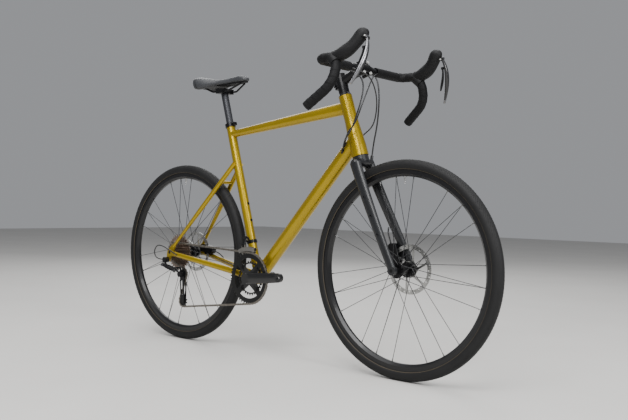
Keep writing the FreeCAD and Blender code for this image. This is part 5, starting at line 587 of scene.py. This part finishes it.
def tread(name, axle):
    """Rows of diamond knobs on both shoulders, each row turned about the axle."""
    shape = bmesh.new()
    for lean, count, shift in KNOB_ROWS:
        for side in (1, -1):
            angle = math.radians(lean) * side
            out = Vector((0, math.sin(angle), math.cos(angle)))
            knob = bmesh.ops.create_cube(shape, size=1.0)["verts"]
            bmesh.ops.scale(shape, vec=KNOB_SIZE, verts=knob)
            bmesh.ops.rotate(shape, matrix=Matrix.Rotation(KNOB_TURN * side, 3, "Z"), verts=knob)
            top = [vertex for vertex in knob if vertex.co.z > 0]
            bmesh.ops.scale(shape, vec=(KNOB_TOP_SHARE, KNOB_TOP_SHARE, 1), verts=top)
            bmesh.ops.rotate(shape, matrix=Matrix.Rotation(-angle, 3, "X"), verts=knob)
            spot = axle + Vector((0, 0, TYRE_MIDDLE)) + out * TYRE_HALF
            bmesh.ops.translate(shape, vec=spot, verts=knob)
            step = 2 * math.pi / count
            bmesh.ops.rotate(shape, cent=axle, matrix=Matrix.Rotation(step * shift, 3, "Y"), verts=knob)
            faces = list({face for vertex in knob for face in vertex.link_faces})
            bmesh.ops.spin(shape, geom=knob + faces, cent=axle, axis=(0, 1, 0), angle=2 * math.pi - step,
                           steps=count - 1, use_duplicate=True)
    piece = meshed(name, shape)
    piece.data.materials.append(tyre_rubber)
    return piece


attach(tread("front_tread", FRONT_AXLE), "front_wheel")
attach(tread("rear_tread", REAR_AXLE), "rear_wheel")
for name, axle in (("front_tyre", FRONT_AXLE), ("rear_tyre", REAR_AXLE)):
    lined = tyre_rubber.copy()
    lined.name = name + "_rubber"
    dress(banded(lined, axle, LINE_RADIUS, LINE_HALF, LINE_TAN), name)

# Drive: forged black cranks on two machined rings, a nickel-plated chain, cogs that
# have taken a brownish tint from use, and black derailleurs with a bright front cage.
CRANK_BLACK = ((0.004, 0.004, 0.0042), (0.010, 0.010, 0.0105))
RING_BLACK = ((0.004, 0.004, 0.0042), (0.012, 0.012, 0.012))
CHAIN_NICKEL = ((0.13, 0.118, 0.10), (0.27, 0.25, 0.225))
COG_BROWN = ((0.22, 0.172, 0.145), (0.38, 0.315, 0.275))
CAGE_SILVER = ((0.20, 0.19, 0.175), (0.38, 0.365, 0.34))
shell_low, shell_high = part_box("bottom_bracket_shell")
CRANK_AXLE = (Vector(shell_low) + Vector(shell_high)) / 2
crank_black = finish_of("crank_black", CRANK_BLACK, metallic=0.3, rough=(0.28, 0.42), cloud=10.0, coat=0.3)
ring_black = finish_of("ring_black", RING_BLACK, metallic=0.5, rough=(0.25, 0.38), cloud=24.0)
chain_plate = finish_of("chain_plate", CHAIN_NICKEL, metallic=1.0, rough=(0.3, 0.46), cloud=60.0)
cog_steel = finish_of("cog_steel", COG_BROWN, metallic=1.0, rough=(0.26, 0.4), cloud=45.0)
cage_alloy = finish_of("cage_alloy", CAGE_SILVER, metallic=1.0, rough=(0.25, 0.38), cloud=20.0)
dress(crank_black, "crank_arms")
dress(turned(ring_black, CRANK_AXLE), "chainrings")
dress(chain_plate, "chain")
dress(turned(cog_steel, REAR_AXLE), "cassette")
dress(black_alloy, "rd_b_knuckle", "rd_outer_link", "rd_inner_link", "rd_p_knuckle", "rd_cage", "fd_arm")
dress(nylon, "guide_pulley", "tension_pulley")
dress(cage_alloy, "fd_cage")

# Cables and hoses: black plastic housings over steel strand for the gears, and plain
# hoses for the brakes. Four leave the tape, loop ahead of the head tube and go into
# the frame or the fork; short ends show again at the derailleur and the calipers.
GEAR_HOUSING = 0.0044
BRAKE_HOSE = 0.0050
CORD_STEPS = 14
CORD_ROUNDNESS = 4
FRONT_GEAR = [(0.3087, -0.0266, 0.7551), (0.3271, -0.0442, 0.7859), (0.3652, -0.0480, 0.8119),
              (0.3817, -0.0380, 0.8684), (0.3862, -0.0140, 0.9228), (0.3795, 0.0180, 0.9670),
              (0.3727, 0.0460, 0.9837), (0.3650, 0.0680, 0.9911)]
REAR_GEAR = [(0.3087, 0.0266, 0.7551), (0.3271, 0.0442, 0.7859), (0.3671, 0.0480, 0.8126),
             (0.3862, 0.0410, 0.8678), (0.3977, 0.0200, 0.9204), (0.3966, -0.0120, 0.9666),
             (0.3796, -0.0440, 0.9850), (0.3650, -0.0680, 0.9911)]
REAR_HOSE = [(0.3000, -0.0266, 0.7334), (0.3183, -0.0442, 0.7642), (0.3597, -0.0600, 0.7910),
             (0.3820, -0.0600, 0.8431), (0.3922, -0.0470, 0.8995), (0.3872, -0.0350, 0.9506),
             (0.3683, -0.0490, 0.9780), (0.3569, -0.0680, 0.9835)]
FRONT_HOSE = [(0.3722, 0.0381, 0.7149), (0.3741, 0.0418, 0.7546), (0.3861, 0.0420, 0.8064),
              (0.3963, 0.0370, 0.8628), (0.4002, 0.0330, 0.9192), (0.3878, 0.0380, 0.9614),
              (0.3683, 0.0510, 0.9780), (0.3569, 0.0680, 0.9835)]
GEAR_LOOP = [(-0.4800, -0.0830, 0.3410), (-0.5220, -0.0870, 0.3590), (-0.5600, -0.0900, 0.3740),
             (-0.5960, -0.0900, 0.3760), (-0.6190, -0.0880, 0.3470), (-0.6000, -0.0860, 0.3180),
             (-0.5613, -0.0843, 0.3200)]
REAR_STUB = [(-0.4219, 0.0510, 0.3567), (-0.4011, 0.0520, 0.3552), (-0.3803, 0.0550, 0.3466),
             (-0.3642, 0.0570, 0.3339)]
FRONT_STUB = [(0.4619, 0.0300, 0.4299), (0.4551, 0.0310, 0.4463), (0.4436, 0.0380, 0.4645),
              (0.4401, 0.0460, 0.4792)]
HOUSING_BLACK = ((0.004, 0.004, 0.0045), (0.009, 0.009, 0.010))
housing = finish_of("cable_housing", HOUSING_BLACK, metallic=0.0, rough=(0.3, 0.42), cloud=30.0)


def cord_curve(name, route, diameter=0.0):
    """A smooth line on the route's points, with a round section if it has a diameter."""
    line = bpy.data.curves.new(name, "CURVE")
    line.dimensions = "3D"
    line.resolution_u = CORD_STEPS
    line.bevel_depth = diameter / 2
    line.bevel_resolution = CORD_ROUNDNESS
    line.use_fill_caps = True
    spline = line.splines.new("NURBS")
    spline.points.add(len(route) - 1)
    for point, place in zip(spline.points, route):
        point.co = (*place, 1)
    spline.order_u = 3
    spline.use_endpoint_u = True
    return linked(name, line)


def fixed_cord(name, route, diameter, body, node):
    """A cord that stays on one body from end to end."""
    piece = cord_curve(name, route, diameter)
    piece.data.materials.append(housing)
    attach(piece, body)
    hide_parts(node)


def steered_cord(name, route, diameter, node):
    """A cord from the frame to the bar, turned from a curve into a mesh."""
    bare = cord_curve(name + "_line", route)
    round_line = cord_curve(name + "_tube", route, diameter)
    view = bpy.context.evaluated_depsgraph_get()
    path = bpy.data.meshes.new_from_object(bare.evaluated_get(view))
    mesh = bpy.data.meshes.new_from_object(round_line.evaluated_get(view))
    bpy.data.objects.remove(bare)
    bpy.data.objects.remove(round_line)
    piece = linked(name, mesh)
    shade_smooth(piece)
    piece.data.materials.clear()
    piece.data.materials.append(housing)
    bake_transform(piece)
    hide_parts(node)


steered_cord("front_gear_housing", FRONT_GEAR, GEAR_HOUSING, "gear_cables")
steered_cord("rear_gear_housing", REAR_GEAR, GEAR_HOUSING, "gear_cables")
steered_cord("rear_brake_line", REAR_HOSE, BRAKE_HOSE, "rear_brake_hose")
fixed_cord("front_brake_line", FRONT_HOSE, BRAKE_HOSE, "steering", "front_brake_hose")
fixed_cord("rear_gear_loop", GEAR_LOOP, GEAR_HOUSING, "frame", "gear_cables")
fixed_cord("rear_brake_stub", REAR_STUB, BRAKE_HOSE, "frame", "rear_brake_hose")
fixed_cord("front_brake_stub", FRONT_STUB, BRAKE_HOSE, "steering", "front_brake_hose")

# Studio: a pale matt floor, broad soft lights from above and both sides, and the
# camera where the photographer stood.
FLOOR_HALF = 12.0
FLOOR_PALE = ((0.50, 0.49, 0.47), (0.56, 0.55, 0.53))
LIGHTS = (("key", (1.4, -3.0, 3.6), 2.6, 210.0),
          ("sky", (0.2, -0.2, 4.8), 5.5, 260.0),
          ("front", (4.2, -0.6, 1.8), 1.4, 120.0),
          ("back", (-2.6, 2.6, 2.8), 2.6, 60.0))
LIT_POINT = Vector((0, 0, 0.5))
SKY_TINT = (0.86, 0.88, 0.92, 1)
SKY_STRENGTH = 0.36
CAMERA_PLACE = Vector((1.9507, -2.0589, 0.5457))
CAMERA_YAW = math.radians(41.179)
CAMERA_PITCH = math.radians(0.661)
CAMERA_ROLL = math.radians(1.211)
PHOTO_WIDTH = 628
FOCAL_PIXELS = 789.31
SHIFT_PIXELS = (1.33, 4.76)
VIEW_DEPTH = 60.0
shape = bmesh.new()
bmesh.ops.create_grid(shape, x_segments=1, y_segments=1, size=FLOOR_HALF)
floor = meshed("studio_floor", shape)
floor.data.materials.append(finish_of("floor_matt", FLOOR_PALE, metallic=0.0, rough=(0.8, 0.95), cloud=2.0))
for name, spot, size, power in LIGHTS:
    lamp = bpy.data.lights.new(name, "AREA")
    lamp.size = size
    lamp.energy = power
    light = linked(name, lamp)
    light.location = spot
    light.rotation_euler = (LIT_POINT - Vector(spot)).to_track_quat("-Z", "Y").to_euler()
world = bpy.context.scene.world or bpy.data.worlds.new("studio")
bpy.context.scene.world = world
world.use_nodes = True
sky = world.node_tree.nodes["Background"]
sky.inputs["Color"].default_value = SKY_TINT
sky.inputs["Strength"].default_value = SKY_STRENGTH
back = Vector((math.sin(CAMERA_YAW) * math.cos(CAMERA_PITCH), -math.cos(CAMERA_YAW) * math.cos(CAMERA_PITCH),
               math.sin(CAMERA_PITCH)))
right = Vector((math.cos(CAMERA_YAW), math.sin(CAMERA_YAW), 0))
up = back.cross(right)
across = right * math.cos(CAMERA_ROLL) + up * math.sin(CAMERA_ROLL)
upright = up * math.cos(CAMERA_ROLL) - right * math.sin(CAMERA_ROLL)
lens = bpy.data.cameras.new("photo_camera")
lens.sensor_fit = "HORIZONTAL"
lens.lens = FOCAL_PIXELS * lens.sensor_width / PHOTO_WIDTH
lens.shift_x = SHIFT_PIXELS[0] / PHOTO_WIDTH
lens.shift_y = SHIFT_PIXELS[1] / PHOTO_WIDTH
lens.clip_end = VIEW_DEPTH
camera = linked("photo_camera", lens)
camera.matrix_world = Matrix((
    (across.x, upright.x, back.x, CAMERA_PLACE.x),
    (across.y, upright.y, back.y, CAMERA_PLACE.y),
    (across.z, upright.z, back.z, CAMERA_PLACE.z),
    (0, 0, 0, 1)))
bpy.context.scene.camera = camera
